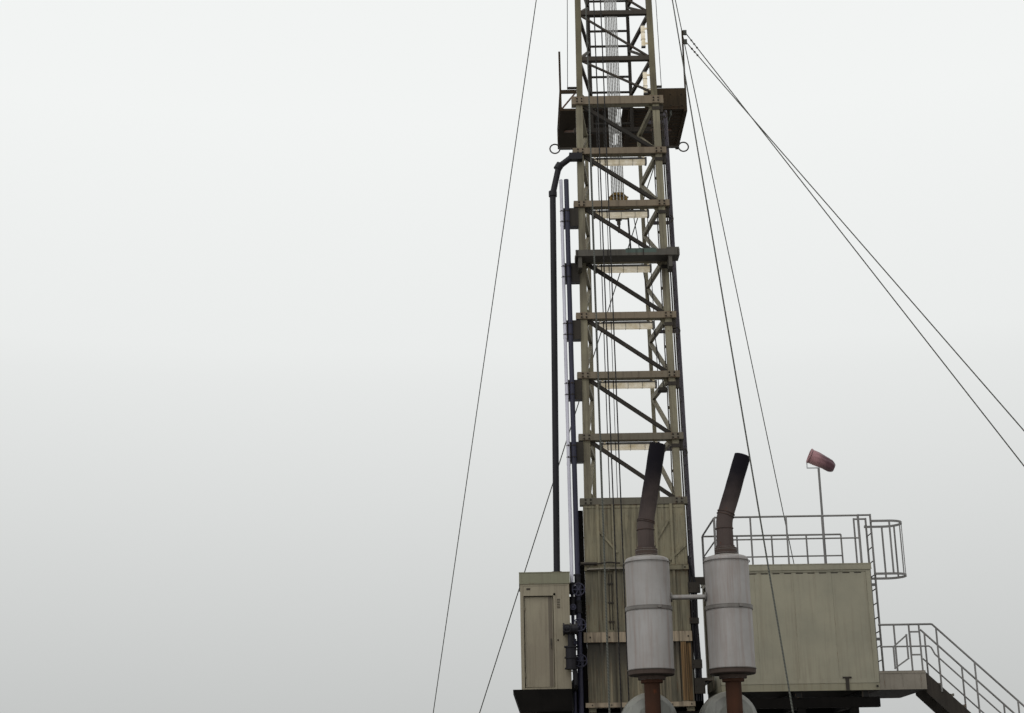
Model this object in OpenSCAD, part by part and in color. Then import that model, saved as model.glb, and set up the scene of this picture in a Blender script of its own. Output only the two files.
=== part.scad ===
// Oil drilling rig: a guyed mast on a raised floor, with a doghouse, a locker and an engine skid.
// Millimetres. X runs along the doghouse, Y from the engines to the pipe side, Z up.
// All places are measured from the well centre, and the whole rig is then moved by well_x
// so that the origin is the middle of the ground that the rig and its anchors cover.

/* [Mast] */
// Height of the mast feet above the ground
mast_foot_z = 3750; // [3400:10:4100]
// Near leg spacing at the feet, centre to centre
mast_foot_w = 2046; // [1900:10:2200]
// Near leg spacing at the top of the lower section
mast_top_w = 1802; // [1700:10:1900]
// Depth of the mast, leg centre to leg centre
mast_depth = 1900; // [1700:10:2100]
// Width of the square near legs
leg_w = 155; // [140:5:200]
// Width of the slimmer far legs
far_leg_w = 85; // [60:5:140]
// How much nearer to the middle each far leg stands
far_leg_inset = 250; // [100:10:300]
// Height of the lowest girt above the wall panels
first_girt_z = 8200; // [7800:10:8600]
// Height of the lowest bay
bay_h = 1437; // [1350:1:1500]
// How much each bay is lower than the one below
bay_step = 22; // [0:1:30]
// Number of bays above the wall panels
bays = 7; // [5:1:8]
// Height of a girt
girt_h = 150; // [110:5:180]
// How far a girt stands out past the legs at each side
girt_over = 100; // [60:5:140]
// How far a girt stands out in front of the legs
girt_proud = 55; // [30:5:90]
// Thickness of the diagonal braces
brace_w = 80; // [50:5:110]

/* [Upper mast] */
// Near leg spacing at the bottom of the upper section
upper_foot_w = 1760; // [1600:10:1800]
// Near leg spacing at the crown
upper_top_w = 1560; // [1400:10:1700]
// Width of the upper legs
upper_leg_w = 140; // [110:5:160]
// Width of the two far rails of the upper section
upper_rail_w = 80; // [60:5:110]
// Spacing of the far rails
upper_rail_gap = 1000; // [800:10:1200]
// Height of the girders at the lower end of the upper section
upper_first_girt = 1040; // [800:10:1200]
// Bay height of the upper section
upper_bay_h = 1230; // [1150:10:1300]
// Number of bays in the upper section
upper_bays = 7; // [5:1:11]
// Spacing of the rungs between the far rails
rung_step = 430; // [350:10:500]

/* [Crown] */
// Height of the crown beams
crown_beam_h = 300; // [240:10:360]
// Diameter of the crown sheaves
crown_sheave_d = 500; // [460:10:640]
// Number of crown sheaves in the middle cluster
sheave_count = 4; // [3:1:5]
// Diameter of the drill line
drill_line_d = 28; // [22:1:36]

/* [Travelling block] */
// Height of the top of the travelling block at rest
block_top_z = 15860; // [12000:10:16000]
// Height of the block's side plates
block_h = 620; // [600:10:900]
// Width of the block, across its sheaves
block_w = 420; // [380:10:480]
// Depth of the block, along its sheaves
block_depth = 520; // [460:10:680]

/* [Rig floor] */
// Height of the rig floor
floor_z = 4450; // [4200:10:4700]
// Thickness of the floor plate
floor_t = 60; // [40:5:80]
// Left edge of the rig floor
floor_left = -2300; // [-2600:10:-2100]
// Right edge of the rig floor
floor_right = 1540; // [1500:10:1560]
// Near edge of the rig floor
floor_near = -760; // [-800:10:-700]
// Far edge of the rig floor
floor_far = 3400; // [3000:10:3800]
// Spacing of the outer substructure posts from the well centre
sub_half_w = 2100; // [1900:10:2200]
// Width of a substructure post
post_w = 200; // [150:10:250]
// Height of the base beams
base_beam_h = 300; // [240:10:360]

/* [Doghouse] */
// Left end of the doghouse
dog_x0 = 1620; // [1600:10:1700]
// Right end of the doghouse
dog_x1 = 4870; // [4600:10:5100]
// Near wall of the doghouse
dog_y0 = -1500; // [-1600:10:-1400]
// Far wall of the doghouse
dog_y1 = 820; // [600:10:1000]
// Height of the underside of the doghouse
dog_z0 = 4080; // [4000:10:4150]
// Height of the doghouse roof
dog_z1 = 6700; // [6500:10:6900]
// Thickness of the doghouse walls
wall_t = 60; // [50:5:90]
// Height of the roof railing
roof_rail_h = 1030; // [950:10:1100]

/* [Locker] */
// Left side of the locker
lock_x0 = -2490; // [-2600:10:-2400]
// Width of the locker
lock_w = 1030; // [950:10:1100]
// Depth of the locker
lock_depth = 1150; // [1000:10:1300]
// Height of the locker
lock_h = 2420; // [2300:10:2500]
// Width of the locker door
door_w = 620; // [560:10:680]
// Height of the locker door
door_h = 1880; // [1750:10:1950]

/* [Silencers] */
// Distance of the silencers in front of the well centre
silencer_y = -6000; // [-6200:10:-5800]
// Place of the left silencer
silencer_left_x = -205; // [-300:5:-100]
// Place of the right silencer
silencer_right_x = 1230; // [1100:5:1350]
// Diameter of the silencer bodies
silencer_d = 830; // [760:10:880]
// Height of the silencer bodies
silencer_h = 2080; // [1900:10:2200]
// Height of the underside of the silencers
silencer_z = 4080; // [4000:10:4200]
// Diameter of the outlet pipes
outlet_d = 310; // [240:10:340]
// Diameter of the rusty risers below the silencers
riser_d = 280; // [240:10:380]

/* [Engines and drawworks] */
// Height of the skid deck under the engines
skid_z = 1250; // [1150:10:1350]
// Far end of the radiators, in front of the well centre
engine_front = 7900; // [7700:10:8100]
// Length of a crankcase
engine_len = 2150; // [2000:10:2300]
// Height of an engine
engine_h = 1250; // [1150:10:1300]
// Half width of an engine across its cylinder heads
engine_half_w = 380; // [340:10:410]
// Number of cylinders on each side of an engine
cylinders = 6; // [4:1:8]
// Diameter of the drawworks drum
drum_d = 700; // [600:10:760]
// Half width of the drawworks
hoist_half_w = 1150; // [1100:10:1200]

/* [Guy lines] */
// Distance of the guy anchors in front of and behind the well
anchor_y = 12500; // [11500:50:13500]
// Place of the far left anchor
anchor_far_left = -5750; // [-6200:10:-5300]
// Place of the far right anchor
anchor_far_right = 7100; // [6600:10:7600]
// Place of the near anchors to each side of the middle
anchor_near = 1360; // [1200:10:1600]
// Place of the escape line anchors
anchor_side = 10600; // [10000:50:11200]
// Place of the racking board's own anchor, to the left
anchor_board = 5010; // [4500:10:5400]
// Diameter of a guy line
guy_d = 26; // [20:1:34]

/* [Stairs] */
// Right end of the landing
landing_x1 = 5840; // [5700:10:6200]
// Steepness of the stair in degrees
stair_angle = 44.5; // [40:0.5:46]
// Clear width of the stair
stair_w = 800; // [700:10:900]
// Diameter of a handrail tube
rail_d = 42; // [34:1:50]

/* [Hidden] */

// Clearance between solids that would otherwise only just touch
seat = 0.3;
// Clearance of moving pieces
run_gap = 12;

anchor_size = 600;
anchor_t = 120;
rig_x0 = anchor_far_left - anchor_size / 2;
rig_x1 = anchor_side + anchor_size / 2;
well_x = -(rig_x0 + rig_x1) / 2;

function girt_z(i) = first_girt_z + i * bay_h - bay_step * i * (i - 1) / 2;
lower_top_z = girt_z(bays);
top_girt_h = girt_h + 50;
splice_z = lower_top_z + top_girt_h / 2;
near_y = -mast_depth / 2;
far_y = mast_depth / 2;
mast_slope = (mast_top_w - mast_foot_w) / 2 / (lower_top_z - mast_foot_z);
function half_w(z) = mast_foot_w / 2 + mast_slope * (z - mast_foot_z);
side_near = near_y + leg_w / 2;
side_far = far_y - far_leg_w / 2;

function upper_z(i) = splice_z + upper_first_girt + i * upper_bay_h;
crown_z = upper_z(upper_bays) + 500;
crown_top_z = crown_z + crown_beam_h;
upper_slope = (upper_top_w - upper_foot_w) / 2 / (crown_z - splice_z);
function upper_half(z) = upper_foot_w / 2 + upper_slope * (z - splice_z);
upper_near_y = near_y + (leg_w - upper_leg_w) / 2;
upper_far_y = far_y - 40;
upper_side_near = upper_near_y + upper_leg_w / 2;
upper_side_far = upper_far_y - upper_rail_w / 2;

// Substructure and floor
base_near = near_y - 450;
base_far = floor_far;
frame_top_h = 260;
far_frame_y = floor_far - post_w / 2 - 50;
joist_h = floor_z - floor_t - mast_foot_z;
joist_x = 1320;
rotary_w = 900;
rotary_bore_d = 445;
leg_gap = 40;

// Locker
lock_z0 = 4200;
lock_x1 = lock_x0 + lock_w;
lock_y0 = dog_y0;
lock_wall = 50;
door_x0 = lock_x0 + 70;
door_z0 = lock_z0 + 40;
door_recess = 55;
door_t = 40;
hinge_x = door_x0 + 14;
hinge_y = lock_y0 + door_recess - 8;
notch_y = lock_y0 + lock_depth + 40;

// Doghouse and its stand
stand_h = 200;
stand_z = mast_foot_z + stand_h;
stand_xs = [3250, dog_x1 - 530];
stand_ys = [dog_y0 + 150, dog_y1 - 150];
dog_floor_t = 150;
dog_roof_t = 120;
dog_wall_z = dog_z0 + dog_floor_t + seat;
dog_roof_z = dog_z1 - dog_roof_t;
dog_door_w = 850;
dog_door_h = 2050;
ladder_mid_y = -675;
cage_w = 350;
cage_out = 720;

// Landing and stair
rail_top = 960;
rail_post_d = rail_d - 3;
stair_y0 = dog_y0 + 60;
stair_run = floor_z / tan(stair_angle);
stair_x0 = landing_x1 + seat;
treads = 19;

// Mast fittings
side_girt_h = 120;
panel_t = 30;
lamp_l = 1250;
lamp_y = near_y + 120;
upper_lamps = [splice_z + 150, splice_z + 1390];
tie_z = 6465;
ring_x = 1500;
ring_z = girt_z(6) + 100;
belly_z = girt_z(4) - 100;
pipe_y = near_y - post_w / 2 - 70;
standpipe_d = 140;
standpipe_x = -1580;
standpipe_foot = [-1700, pipe_y, lock_z0 + lock_h + seat];
standpipe_top_z = 15400;
neck_mid = [-1425, pipe_y, 16080];
neck_end = [-1120, pipe_y, 16320];
mud_x = -1262;
conduit_x = -1385;
ladder_x = 1330;
ladder_ys = [-260, 160];

// Racking board
board_z = splice_z + 700;
board_x0 = -1280;
board_x1 = 1910;
board_y0 = far_y + 110;
board_y1 = board_y0 + 2250;
slot_x0 = 150;
slot_x1 = 290;

// Crown, block and lines
crown_x = upper_top_w / 2 + 170;
crown_y0 = upper_near_y - 150;
crown_y1 = upper_far_y + 150;
sheave_pitch = 80;
sheave_t = sheave_pitch - 12;
shaft_d = 120;
shaft_x = sheave_count * sheave_pitch / 2 + 90;
sheave_z = crown_top_z + 260;
groove = 28;
line_in = drill_line_d / 2 / sin(atan(sheave_t / 2 / groove)) - groove + seat;
line_y = crown_sheave_d / 2 + line_in;
fast_sheave_d = 440;
fast_z = crown_top_z + 320;
fast_xs = [-350, -510];
fast_y = crown_y0 + 75 - fast_sheave_d / 2 - line_in;
block_sheave_drop = crown_sheave_d / 2 + 80;
block_sheave_z = block_top_z - block_sheave_drop;
hook_r = 100;
hook_shank = 170;
guy_top_z = crown_z - seat;
guy_near_x = 660;
board_guy_top = [1500, board_y0 + 60, board_z - 110];
board_guy_foot = [-anchor_board, 8000];
escape_top = [board_x1 + 60, board_y0 + 20, board_z + 2150];
guy_feet = [[-anchor_near, -anchor_y], [anchor_near, -anchor_y],
            [anchor_far_left, anchor_y], [anchor_far_right, anchor_y]];
escape_feet = [[anchor_side, -8000], [anchor_side, -10000]];

// Engine skid
skid_xs = [-mast_foot_w / 2, mast_foot_w / 2];
drum_y = -2700;
drum_z = skid_z + 950;
skid_near = engine_front + 400;
skid_deck_t = 200;
crank_y0 = silencer_y - 1000;
shaft_reach = 640;
compound_y = crank_y0 + engine_len + shaft_reach - 1 + seat;

// Windsock
sock_l = 600;
sock_pole = [4170, -500];
pole_top_z = 8980;
sock_tilt = 24;

steel_dark = "#3a3733";
olive = "#8f8b74";
cream = "#b9b298";
grey = "#9a9a96";
rust = "#6b3a28";

module painted(c) color(c) translate([well_x, 0, 0]) children();

// A straight bar from p to q: w across its plane, d in its plane
module bar(p, q, w, d) {
    v = q - p;
    translate(p)
        rotate([0, acos(v.z / norm(v)), atan2(v.y, v.x)])
            translate([-d / 2, -w / 2, 0])
                cube([d, w, norm(v)]);
}

// A straight round rod from p to q, with few sides unless more are asked for
module rod(p, q, d, sides = 8) {
    v = q - p;
    translate(p)
        rotate([0, acos(v.z / norm(v)), atan2(v.y, v.x)])
            cylinder(h = norm(v), d = d, $fn = sides);
}

// A box given by its lowest and highest corners
module block(a, b) translate(a) cube(b - a);

// An I-beam along X, standing on its lower flange, centred across
module i_beam(len, h, w, t) {
    rotate([90, 0, 90])
        linear_extrude(len) {
            translate([-w / 2, 0]) square([w, t]);
            translate([-w / 2, h - t]) square([w, t]);
            translate([-t / 2, 0]) square([t, h]);
        }
}

module i_beam_y(x, y0, y1, z, h, w, t)
    translate([x, y0, z]) rotate([0, 0, 90]) i_beam(y1 - y0, h, w, t);

module i_beam_x(y, x0, x1, z, h, w, t)
    translate([x0, y, z]) i_beam(x1 - x0, h, w, t);

// Base: four skid beams along Y
module base_beams() painted(steel_dark) {
    for (x = [-sub_half_w, -mast_foot_w / 2, mast_foot_w / 2, sub_half_w])
        i_beam_y(x, base_near, base_far, 0, base_beam_h, 260, 26);
}

// One cross frame of the substructure in the XZ plane
module cross_frame(y) {
    z0 = base_beam_h;
    z1 = mast_foot_z - frame_top_h;
    xs = [-sub_half_w, -mast_foot_w / 2, mast_foot_w / 2, sub_half_w];
    for (x = xs)
        block([x - post_w / 2, y - post_w / 2, z0], [x + post_w / 2, y + post_w / 2, z1 + 1]);
    block([-sub_half_w - post_w / 2, y - post_w / 2, z1],
          [sub_half_w + post_w / 2, y + post_w / 2, mast_foot_z]);
    for (i = [0, 2]) {
        bar([xs[i], y, z0 + 150], [xs[i + 1], y, z1], 90, 90);
        bar([xs[i + 1], y, z0 + 150], [xs[i], y, z1], 90, 90);
    }
}
module near_frame() painted(steel_dark) cross_frame(near_y);
module middle_frame() painted(steel_dark) cross_frame(far_y);
module far_frame() painted(steel_dark) cross_frame(far_frame_y);

// Beams under the doghouse, resting on the frames and on four posts of their own
module doghouse_stand() painted(steel_dark) {
    block([dog_x0, near_y - post_w / 2, mast_foot_z + seat], [dog_x0 + 280, far_y + post_w / 2, stand_z]);
    for (y = stand_ys)
        block([dog_x0, y - 90, mast_foot_z + seat], [dog_x1, y + 90, stand_z]);
    for (x = stand_xs)
        block([x - 60, stand_ys[0], mast_foot_z + 20], [x + 60, stand_ys[1], stand_z - 20]);
}
module stand_posts() painted(steel_dark) {
    z1 = mast_foot_z;
    for (y = stand_ys) {
        for (x = stand_xs) {
            block([x - 80, y - 80, 40], [x + 80, y + 80, z1]);
            block([x - 220, y - 220, 0], [x + 220, y + 220, 41]);
        }
        bar([stand_xs[0], y, 250], [stand_xs[1], y, z1 - 150], 70, 70);
        bar([stand_xs[1], y, 250], [stand_xs[0], y, z1 - 150], 70, 70);
    }
}

// Joists between the frame tops and the floor plate
module floor_joists() painted(steel_dark) {
    i_beam_y(floor_left + 110, notch_y + 20, floor_far, mast_foot_z, joist_h, 180, 22);
    for (s = [-1, 1])
        i_beam_y(s * joist_x, floor_near + 20, floor_far, mast_foot_z, joist_h, 180, 22);
    for (x = [-500, 500])
        i_beam_y(x, far_y + 250, floor_far, mast_foot_z, joist_h, 180, 22);
    for (y = [-rotary_w / 2 - 120, rotary_w / 2 + 120])
        i_beam_x(y, -joist_x + 11 + seat, joist_x - 11 - seat, mast_foot_z + 22 + seat,
                 joist_h - 44 - 2 * seat, 140, 22);
}

// Floor plate with the locker's corner, the mast legs and the rotary cut out of it
module rig_floor() painted("#5d5a50") {
    z0 = floor_z - floor_t;
    difference() {
        block([floor_left, floor_near, z0], [floor_right, floor_far, floor_z]);
        block([floor_left - 1, floor_near - 1, z0 - 1], [lock_x1 + 40, notch_y, floor_z + 1]);
        for (s = [-1, 1]) {
            x = s * (half_w(floor_z) - far_leg_inset);
            w = far_leg_w / 2 + leg_gap;
            block([x - w, far_y - w, z0 - 1], [x + w, far_y + w, floor_z + 1]);
        }
        block([-rotary_w / 2, -rotary_w / 2, z0 - 1], [rotary_w / 2, rotary_w / 2, floor_z + 1]);
    }
}

// Rotary table in the floor, with the bore for the drill string
module rotary_table() painted("#54504a") {
    difference() {
        union() {
            translate([0, 0, floor_z - 420]) cylinder(h = 470, d = rotary_w - 40, $fn = 48);
            block([-rotary_w / 2 + seat, -250, floor_z - 420], [rotary_w / 2 - seat, 250, floor_z]);
        }
        translate([0, 0, floor_z - 500]) cylinder(h = 700, d = rotary_bore_d, $fn = 48);
    }
}

// Two-rail railing from p to q with posts at the given fractions
module railing(p, q, h, fractions) {
    up = [0, 0, 1];
    rod(p + h * up, q + h * up, rail_d);
    rod(p + h * 0.53 * up, q + h * 0.53 * up, rail_d * 0.8);
    for (f = fractions)
        rod(p + f * (q - p), p + f * (q - p) + h * up, rail_post_d);
}

module floor_rails() painted("#a7a394") {
    e = 50;
    h = 1070;
    l = floor_left + e;
    f = floor_far - e;
    railing([l, notch_y + 60, floor_z], [l, f, floor_z], h, [0, 0.33, 0.66, 1]);
    railing([l + 90, f, floor_z], [-900, f, floor_z], h, [0, 1]);
    railing([floor_right - e, dog_y1 + 120, floor_z], [floor_right - e, f, floor_z], h, [0, 0.5, 1]);
    railing([900, f, floor_z], [floor_right - e - 90, f, floor_z], h, [0, 1]);
}

// Lower mast
module mast_leg(s, w, y, inset) {
    z0 = mast_foot_z;
    z1 = splice_z;
    intersection() {
        bar([s * (half_w(z0 - 50) - inset), y, z0 - 50], [s * (half_w(z1 + 50) - inset), y, z1 + 50], w, w);
        block([-3000, -3000, z0], [3000, 3000, z1]);
    }
}

module mast_near_face() painted(olive) {
    for (s = [-1, 1]) mast_leg(s, leg_w, near_y, 0);
    for (i = [0:bays]) {
        z = girt_z(i);
        x = half_w(z) + leg_w / 2 + girt_over;
        h = i == bays ? top_girt_h : girt_h;
        block([-x, side_near - leg_w - girt_proud, z - h / 2], [x, side_near - 5, z + h / 2]);
    }
    for (z = [mast_foot_z + 150, floor_z + 870])
        block([-half_w(z), near_y - 40, z - 60], [half_w(z), near_y + 40, z + 60]);
}

// Arms on the near legs: a tie to the doghouse wall, and two rings on short arms
module mast_arms() painted(steel_dark) {
    x1 = half_w(tie_z - 75) + leg_w / 2 + seat;
    block([x1, near_y - 60, tie_z - 75], [dog_x0 - seat, near_y + 60, tie_z + 75]);
    for (s = [-1, 1]) {
        x0 = half_w(ring_z - 20) + leg_w / 2 + seat;
        w = ring_x - 110 - x0;
        translate([s * (x0 + w / 2) - w / 2, near_y - 75, ring_z - 20]) cube([w, 50, 40]);
        translate([s * ring_x, near_y - 50, ring_z])
            rotate([90, 0, 0])
                rotate_extrude($fn = 32) translate([115, 0]) circle(d = 32, $fn = 16);
    }
}

module mast_diagonals() painted(steel_dark) {
    for (i = [0:bays - 1]) {
        z0 = girt_z(i) + girt_h / 2 + seat;
        z1 = girt_z(i + 1) - (i + 1 == bays ? top_girt_h : girt_h) / 2 - seat;
        intersection() {
            bar([half_w(z0), near_y, z0 - 60], [-half_w(z1), near_y, z1 + 60], brace_w, brace_w);
            rotate([90, 0, 0])
                translate([0, 0, -near_y - 200])
                    linear_extrude(400)
                        polygon([[-half_w(z0) + leg_w / 2 + seat, z0], [half_w(z0) - leg_w / 2 - seat, z0],
                                 [half_w(z1) - leg_w / 2 - seat, z1], [-half_w(z1) + leg_w / 2 + seat, z1]]);
        }
    }
}

module mast_side(s) {
    intersection() {
        union() {
            for (z = [(mast_foot_z + first_girt_z) / 2, first_girt_z])
                side_bar(s, z, z, side_girt_h);
            for (i = [1:bays]) side_bar(s, girt_z(i), girt_z(i), side_girt_h);
            for (i = [0:bays - 1]) side_bar(s, girt_z(i), girt_z(i + 1), 70);
        }
        block([-3000, side_near, 0], [3000, side_far, 40000]);
    }
}
module side_bar(s, z0, z1, h) {
    bar([s * half_w(z0), near_y, z0], [s * (half_w(z1) - far_leg_inset), far_y, z1], 80, h);
}
module mast_left_side() painted(olive) mast_side(-1);
module mast_right_side() painted(olive) mast_side(1);
module mast_far_legs() painted(olive) for (s = [-1, 1]) mast_leg(s, far_leg_w, far_y, far_leg_inset);

// Wall panels round the mast base
module wind_walls() painted(cream) {
    z0 = mast_foot_z + 90;
    z1 = first_girt_z - girt_h / 2 - seat;
    y = near_y - leg_w / 2 - seat;
    x = half_w(z0) + leg_w / 2;
    block([-x, y - panel_t, z0], [x, y, z1]);
    for (z = [z0, 5180, 6690]) {
        h = z == 5180 ? 210 : 100;
        block([-x - 10, y - panel_t - 70, z], [x + 10, y - panel_t + 1, z + h]);
    }
    for (f = [-0.72, -0.42, 0.42, 0.72])
        block([f * x - 30, y - panel_t - 45, z0 + 99], [f * x + 30, y - panel_t + 1, z1]);
    block([0.83 * x - 60, y - panel_t - 60, z0 + 99], [0.83 * x + 60, y - panel_t + 1, 5181]);
    for (k = [[-810, 7600, -390, 7080], [720, 7750, 380, 7200], [1080, 7230, 710, 6900]])
        bar([k[0], y - panel_t - 20, k[1]], [k[2], y - panel_t - 20, k[3]], 40, 45);
}
// Belly platform on the near side of the mast, below the racking board
module belly_platform() painted("#2f2e2a") {
    x = half_w(belly_z) + leg_w / 2 + 60;
    y1 = near_y - leg_w / 2 - girt_proud;
    block([-x - 40, y1 - 420, belly_z], [x + 150, y1 - seat, belly_z + 60]);
    block([-x - 40, y1 - 420, belly_z + 59], [x + 150, y1 - 390, belly_z + 150]);
    block([20, y1 - 360, belly_z + 59], [700, y1 - 80, belly_z + 190]);
    block([x - 130, y1 - 360, belly_z + 59], [x + 150, y1 - 80, belly_z + 210]);
    for (sx = [-1, 1])
        block([sx * (x - 60) - 40, y1 - 380, belly_z - 260], [sx * (x - 60) + 40, y1 - 4, belly_z + 1]);
}
// Racking board: a floor with a slot and fingers on the pipe side, above the lower section
module racking_board() painted("#3d3326") {
    beam_y = upper_far_y + upper_rail_w / 2 + seat;
    block([board_x0, board_y0, board_z], [slot_x0, board_y1, board_z + 60]);
    for (s = [-1, 1])
        block([s * upper_rail_gap / 2 - 60, beam_y, board_z - 120],
              [s * upper_rail_gap / 2 + 60, board_y1 - 200, board_z + 1]);
    block([slot_x0 + seat, board_y1 - 100, board_z], [slot_x1 - seat, board_y1, board_z + 60]);
    block([slot_x1, board_y0, board_z], [slot_x1 + 80, board_y1, board_z + 60]);
    block([board_x1 - 80, board_y0, board_z - 60], [board_x1, board_y1, board_z + 60]);
    for (y = [board_y0:180:board_y1 - 200])
        block([slot_x1 + 79, y, board_z], [board_x1 - 79, y + 130, board_z + 50]);
    block([slot_x1, board_y1 - 70, board_z], [board_x1, board_y1, board_z + 60]);
}
// Wind wall of the racking board, with the posts at its near corners
module board_wind_wall() painted("#3d3326") {
    z = board_z + 60 + seat;
    block([850, board_y0, z], [board_x1, board_y0 + 40, z + 520]);
    block([board_x1 - 40, board_y0 + 39, z], [board_x1, board_y1, z + 520]);
    block([board_x1 - 40, board_y0, z + 519], [board_x1, board_y0 + 40, z + 2150]);
    block([board_x0, board_y0, z], [board_x0 + 50, board_y0 + 50, z + 1600]);
    block([board_x0, board_y0, z + 430], [-850, board_y0 + 50, z + 520]);
    block([board_x0, board_y0 + 49, z + 430], [board_x0 + 50, board_y1, z + 520]);
    for (y = [board_y0 + 1100, board_y1 - 50])
        block([board_x0, y, z], [board_x0 + 50, y + 50, z + 431]);
}

// Upper mast
module upper_leg(s, w, y, x0, x1) {
    intersection() {
        bar([s * x0, y, splice_z - 0], [s * x1, y, crown_z + 0], w, w);
        block([-3000, -3000, splice_z + seat], [3000, 3000, crown_z - seat]);
    }
}
module upper_near_face() painted(olive) {
    for (s = [-1, 1])
        upper_leg(s, upper_leg_w, upper_near_y, upper_foot_w / 2, upper_top_w / 2);
    for (i = [0:upper_bays]) {
        z = upper_z(i);
        x = upper_half(z);
        block([-x, upper_near_y - 50, z - 55], [x, upper_near_y + 50, z + 55]);
        if (i < upper_bays)
            bar([upper_half(z), upper_near_y, z], [-upper_half(z), upper_near_y, z + upper_bay_h], 45, 45);
    }
    bar([upper_half(splice_z), upper_near_y, splice_z + 120],
        [-upper_half(splice_z), upper_near_y, upper_z(0)], 45, 45);
}
module upper_side(s) {
    xf = upper_rail_gap / 2;
    intersection() {
        union() {
            for (i = [0:upper_bays]) {
                z = upper_z(i);
                bar([s * upper_half(z), upper_near_y, z], [s * xf, upper_far_y, z], 70, 90);
                if (i < upper_bays)
                    bar([s * upper_half(z), upper_near_y, z],
                        [s * xf, upper_far_y, z + upper_bay_h], 60, 60);
            }
        }
        block([-3000, upper_side_near, 0], [3000, upper_side_far, 40000]);
    }
}
module upper_left_side() painted(olive) upper_side(-1);
module upper_right_side() painted(olive) upper_side(1);
module upper_far_frame() painted(steel_dark) {
    xf = upper_rail_gap / 2;
    for (s = [-1, 1])
        block([s * xf - upper_rail_w / 2, upper_far_y - upper_rail_w / 2, splice_z + seat],
              [s * xf + upper_rail_w / 2, upper_far_y + upper_rail_w / 2, crown_z - seat]);
    for (z = [splice_z + 250:rung_step:crown_z - 200])
        block([-xf, upper_far_y - 22, z - 22], [xf, upper_far_y + 22, z + 22]);
    block([-half_w(splice_z) - 50, upper_far_y - 60, splice_z + seat],
          [half_w(splice_z) + 50, upper_far_y + 60, splice_z + 120]);
}

// Crown
module bearing(x, y, z, w) {
    difference() {
        block([x - w / 2, y - 110, crown_top_z - 1], [x + w / 2, y + 110, z + 110]);
        translate([x - w, y, z]) rotate([0, 90, 0]) cylinder(h = 2 * w, d = shaft_d + 0.6, $fn = 32);
    }
}
module crown_frame() painted(olive) {
    for (s = [-1, 1]) {
        block([s * (crown_x - 75) - 75, crown_y0, crown_z],
              [s * (crown_x - 75) + 75, crown_y1, crown_top_z]);
        block([s * shaft_x - 50, crown_y0, crown_z], [s * shaft_x + 50, crown_y1, crown_top_z]);
        bearing(s * shaft_x, 0, sheave_z, 90);
    }
    for (y = [crown_y0 + 75, crown_y1 - 75])
        block([-crown_x, y - 75, crown_z], [crown_x, y + 75, crown_top_z]);
    for (x = [fast_xs[0] + 100, fast_xs[1] - 100])
        bearing(x, crown_y0 + 75, fast_z, 50);
    z = crown_top_z + seat;
    for (s = [-1, 1])
        railing([s * (crown_x - 40), crown_y0 + 150, z], [s * (crown_x - 40), crown_y1 - 150, z],
                1050, [0, 0.5, 1]);
    railing([-crown_x + 130, crown_y1 - 40, z], [crown_x - 130, crown_y1 - 40, z], 1050, [0, 0.5, 1]);
    railing([shaft_x + 120, crown_y0 + 40, z], [crown_x - 130, crown_y0 + 40, z], 1050, [0, 1]);
}

// One grooved sheave on a shaft along X
module sheave(d, t) {
    r = d / 2;
    rotate([0, 90, 0])
        translate([0, 0, -t / 2])
            rotate_extrude($fn = 48)
                polygon([[shaft_d / 2 - 1, 0], [110, 0], [110, t * 0.3], [r - 70, t * 0.3],
                         [r - 60, 0], [r, 0], [r - groove, t / 2], [r, t], [r - 60, t],
                         [r - 70, t * 0.7], [110, t * 0.7],
                         [110, t], [shaft_d / 2 - 1, t]]);
}
module shaft(x0, x1, y, z)
    translate([x0, y, z]) rotate([0, 90, 0]) cylinder(h = x1 - x0, d = shaft_d, $fn = 32);

module crown_sheaves() painted("#57524a") {
    for (i = [0:sheave_count - 1])
        translate([(i - (sheave_count - 1) / 2) * sheave_pitch, 0, sheave_z])
            sheave(crown_sheave_d, sheave_t);
    shaft(-shaft_x - 60, shaft_x + 60, 0, sheave_z);
    for (x = fast_xs)
        translate([x, crown_y0 + 75, fast_z]) sheave(fast_sheave_d, sheave_t);
    shaft(fast_xs[1] - 150, fast_xs[0] + 150, crown_y0 + 75, fast_z);
}

// Lamps under the girts
module light_fixtures() painted("#efe2bd") {
    for (i = [1:bays - 1]) {
        z = girt_z(i) - girt_h / 2;
        block([-lamp_l / 2, lamp_y, z - 150], [lamp_l / 2, lamp_y + 120, z - seat]);
        for (s = [-1, 1])
            block([s * 570 - 20, side_near - 5 + seat, z - 20], [s * 570 + 20, lamp_y + 60, z + 40]);
    }
    for (z = upper_lamps) {
        block([645, upper_near_y + 36, z], [735, upper_near_y + 116, z + 560]);
        for (h = [60, 460])
            block([734, upper_near_y + 36, z + h],
                  [upper_half(z + h) - upper_leg_w / 2 - 1, upper_near_y + 66, z + h + 40]);
    }
}
// Standpipe with its gooseneck at the left of the mast
module standpipe() painted("#1f1d1f") {
    top = [standpipe_x, pipe_y, standpipe_top_z];
    rod(standpipe_foot + [0, 0, 20], top, standpipe_d, 24);
    rod(top, neck_mid, standpipe_d, 24);
    rod(neck_mid, neck_end, standpipe_d, 24);
    translate(neck_mid) rotate([0, 32, 0]) translate([0, 0, -75]) cylinder(h = 150, d = standpipe_d + 50, $fn = 24);
    block([neck_end.x - 60, pipe_y - 80, neck_end.z - 80],
          [-half_w(neck_end.z) + leg_w / 4, near_y - leg_w / 2 - seat, neck_end.z + 80]);
    translate([standpipe_foot.x, pipe_y, standpipe_foot.z]) cylinder(h = 60, d = 230, $fn = 24);
    translate([standpipe_x, pipe_y, standpipe_top_z - 60]) cylinder(h = 120, d = 190, $fn = 24);
}

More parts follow.
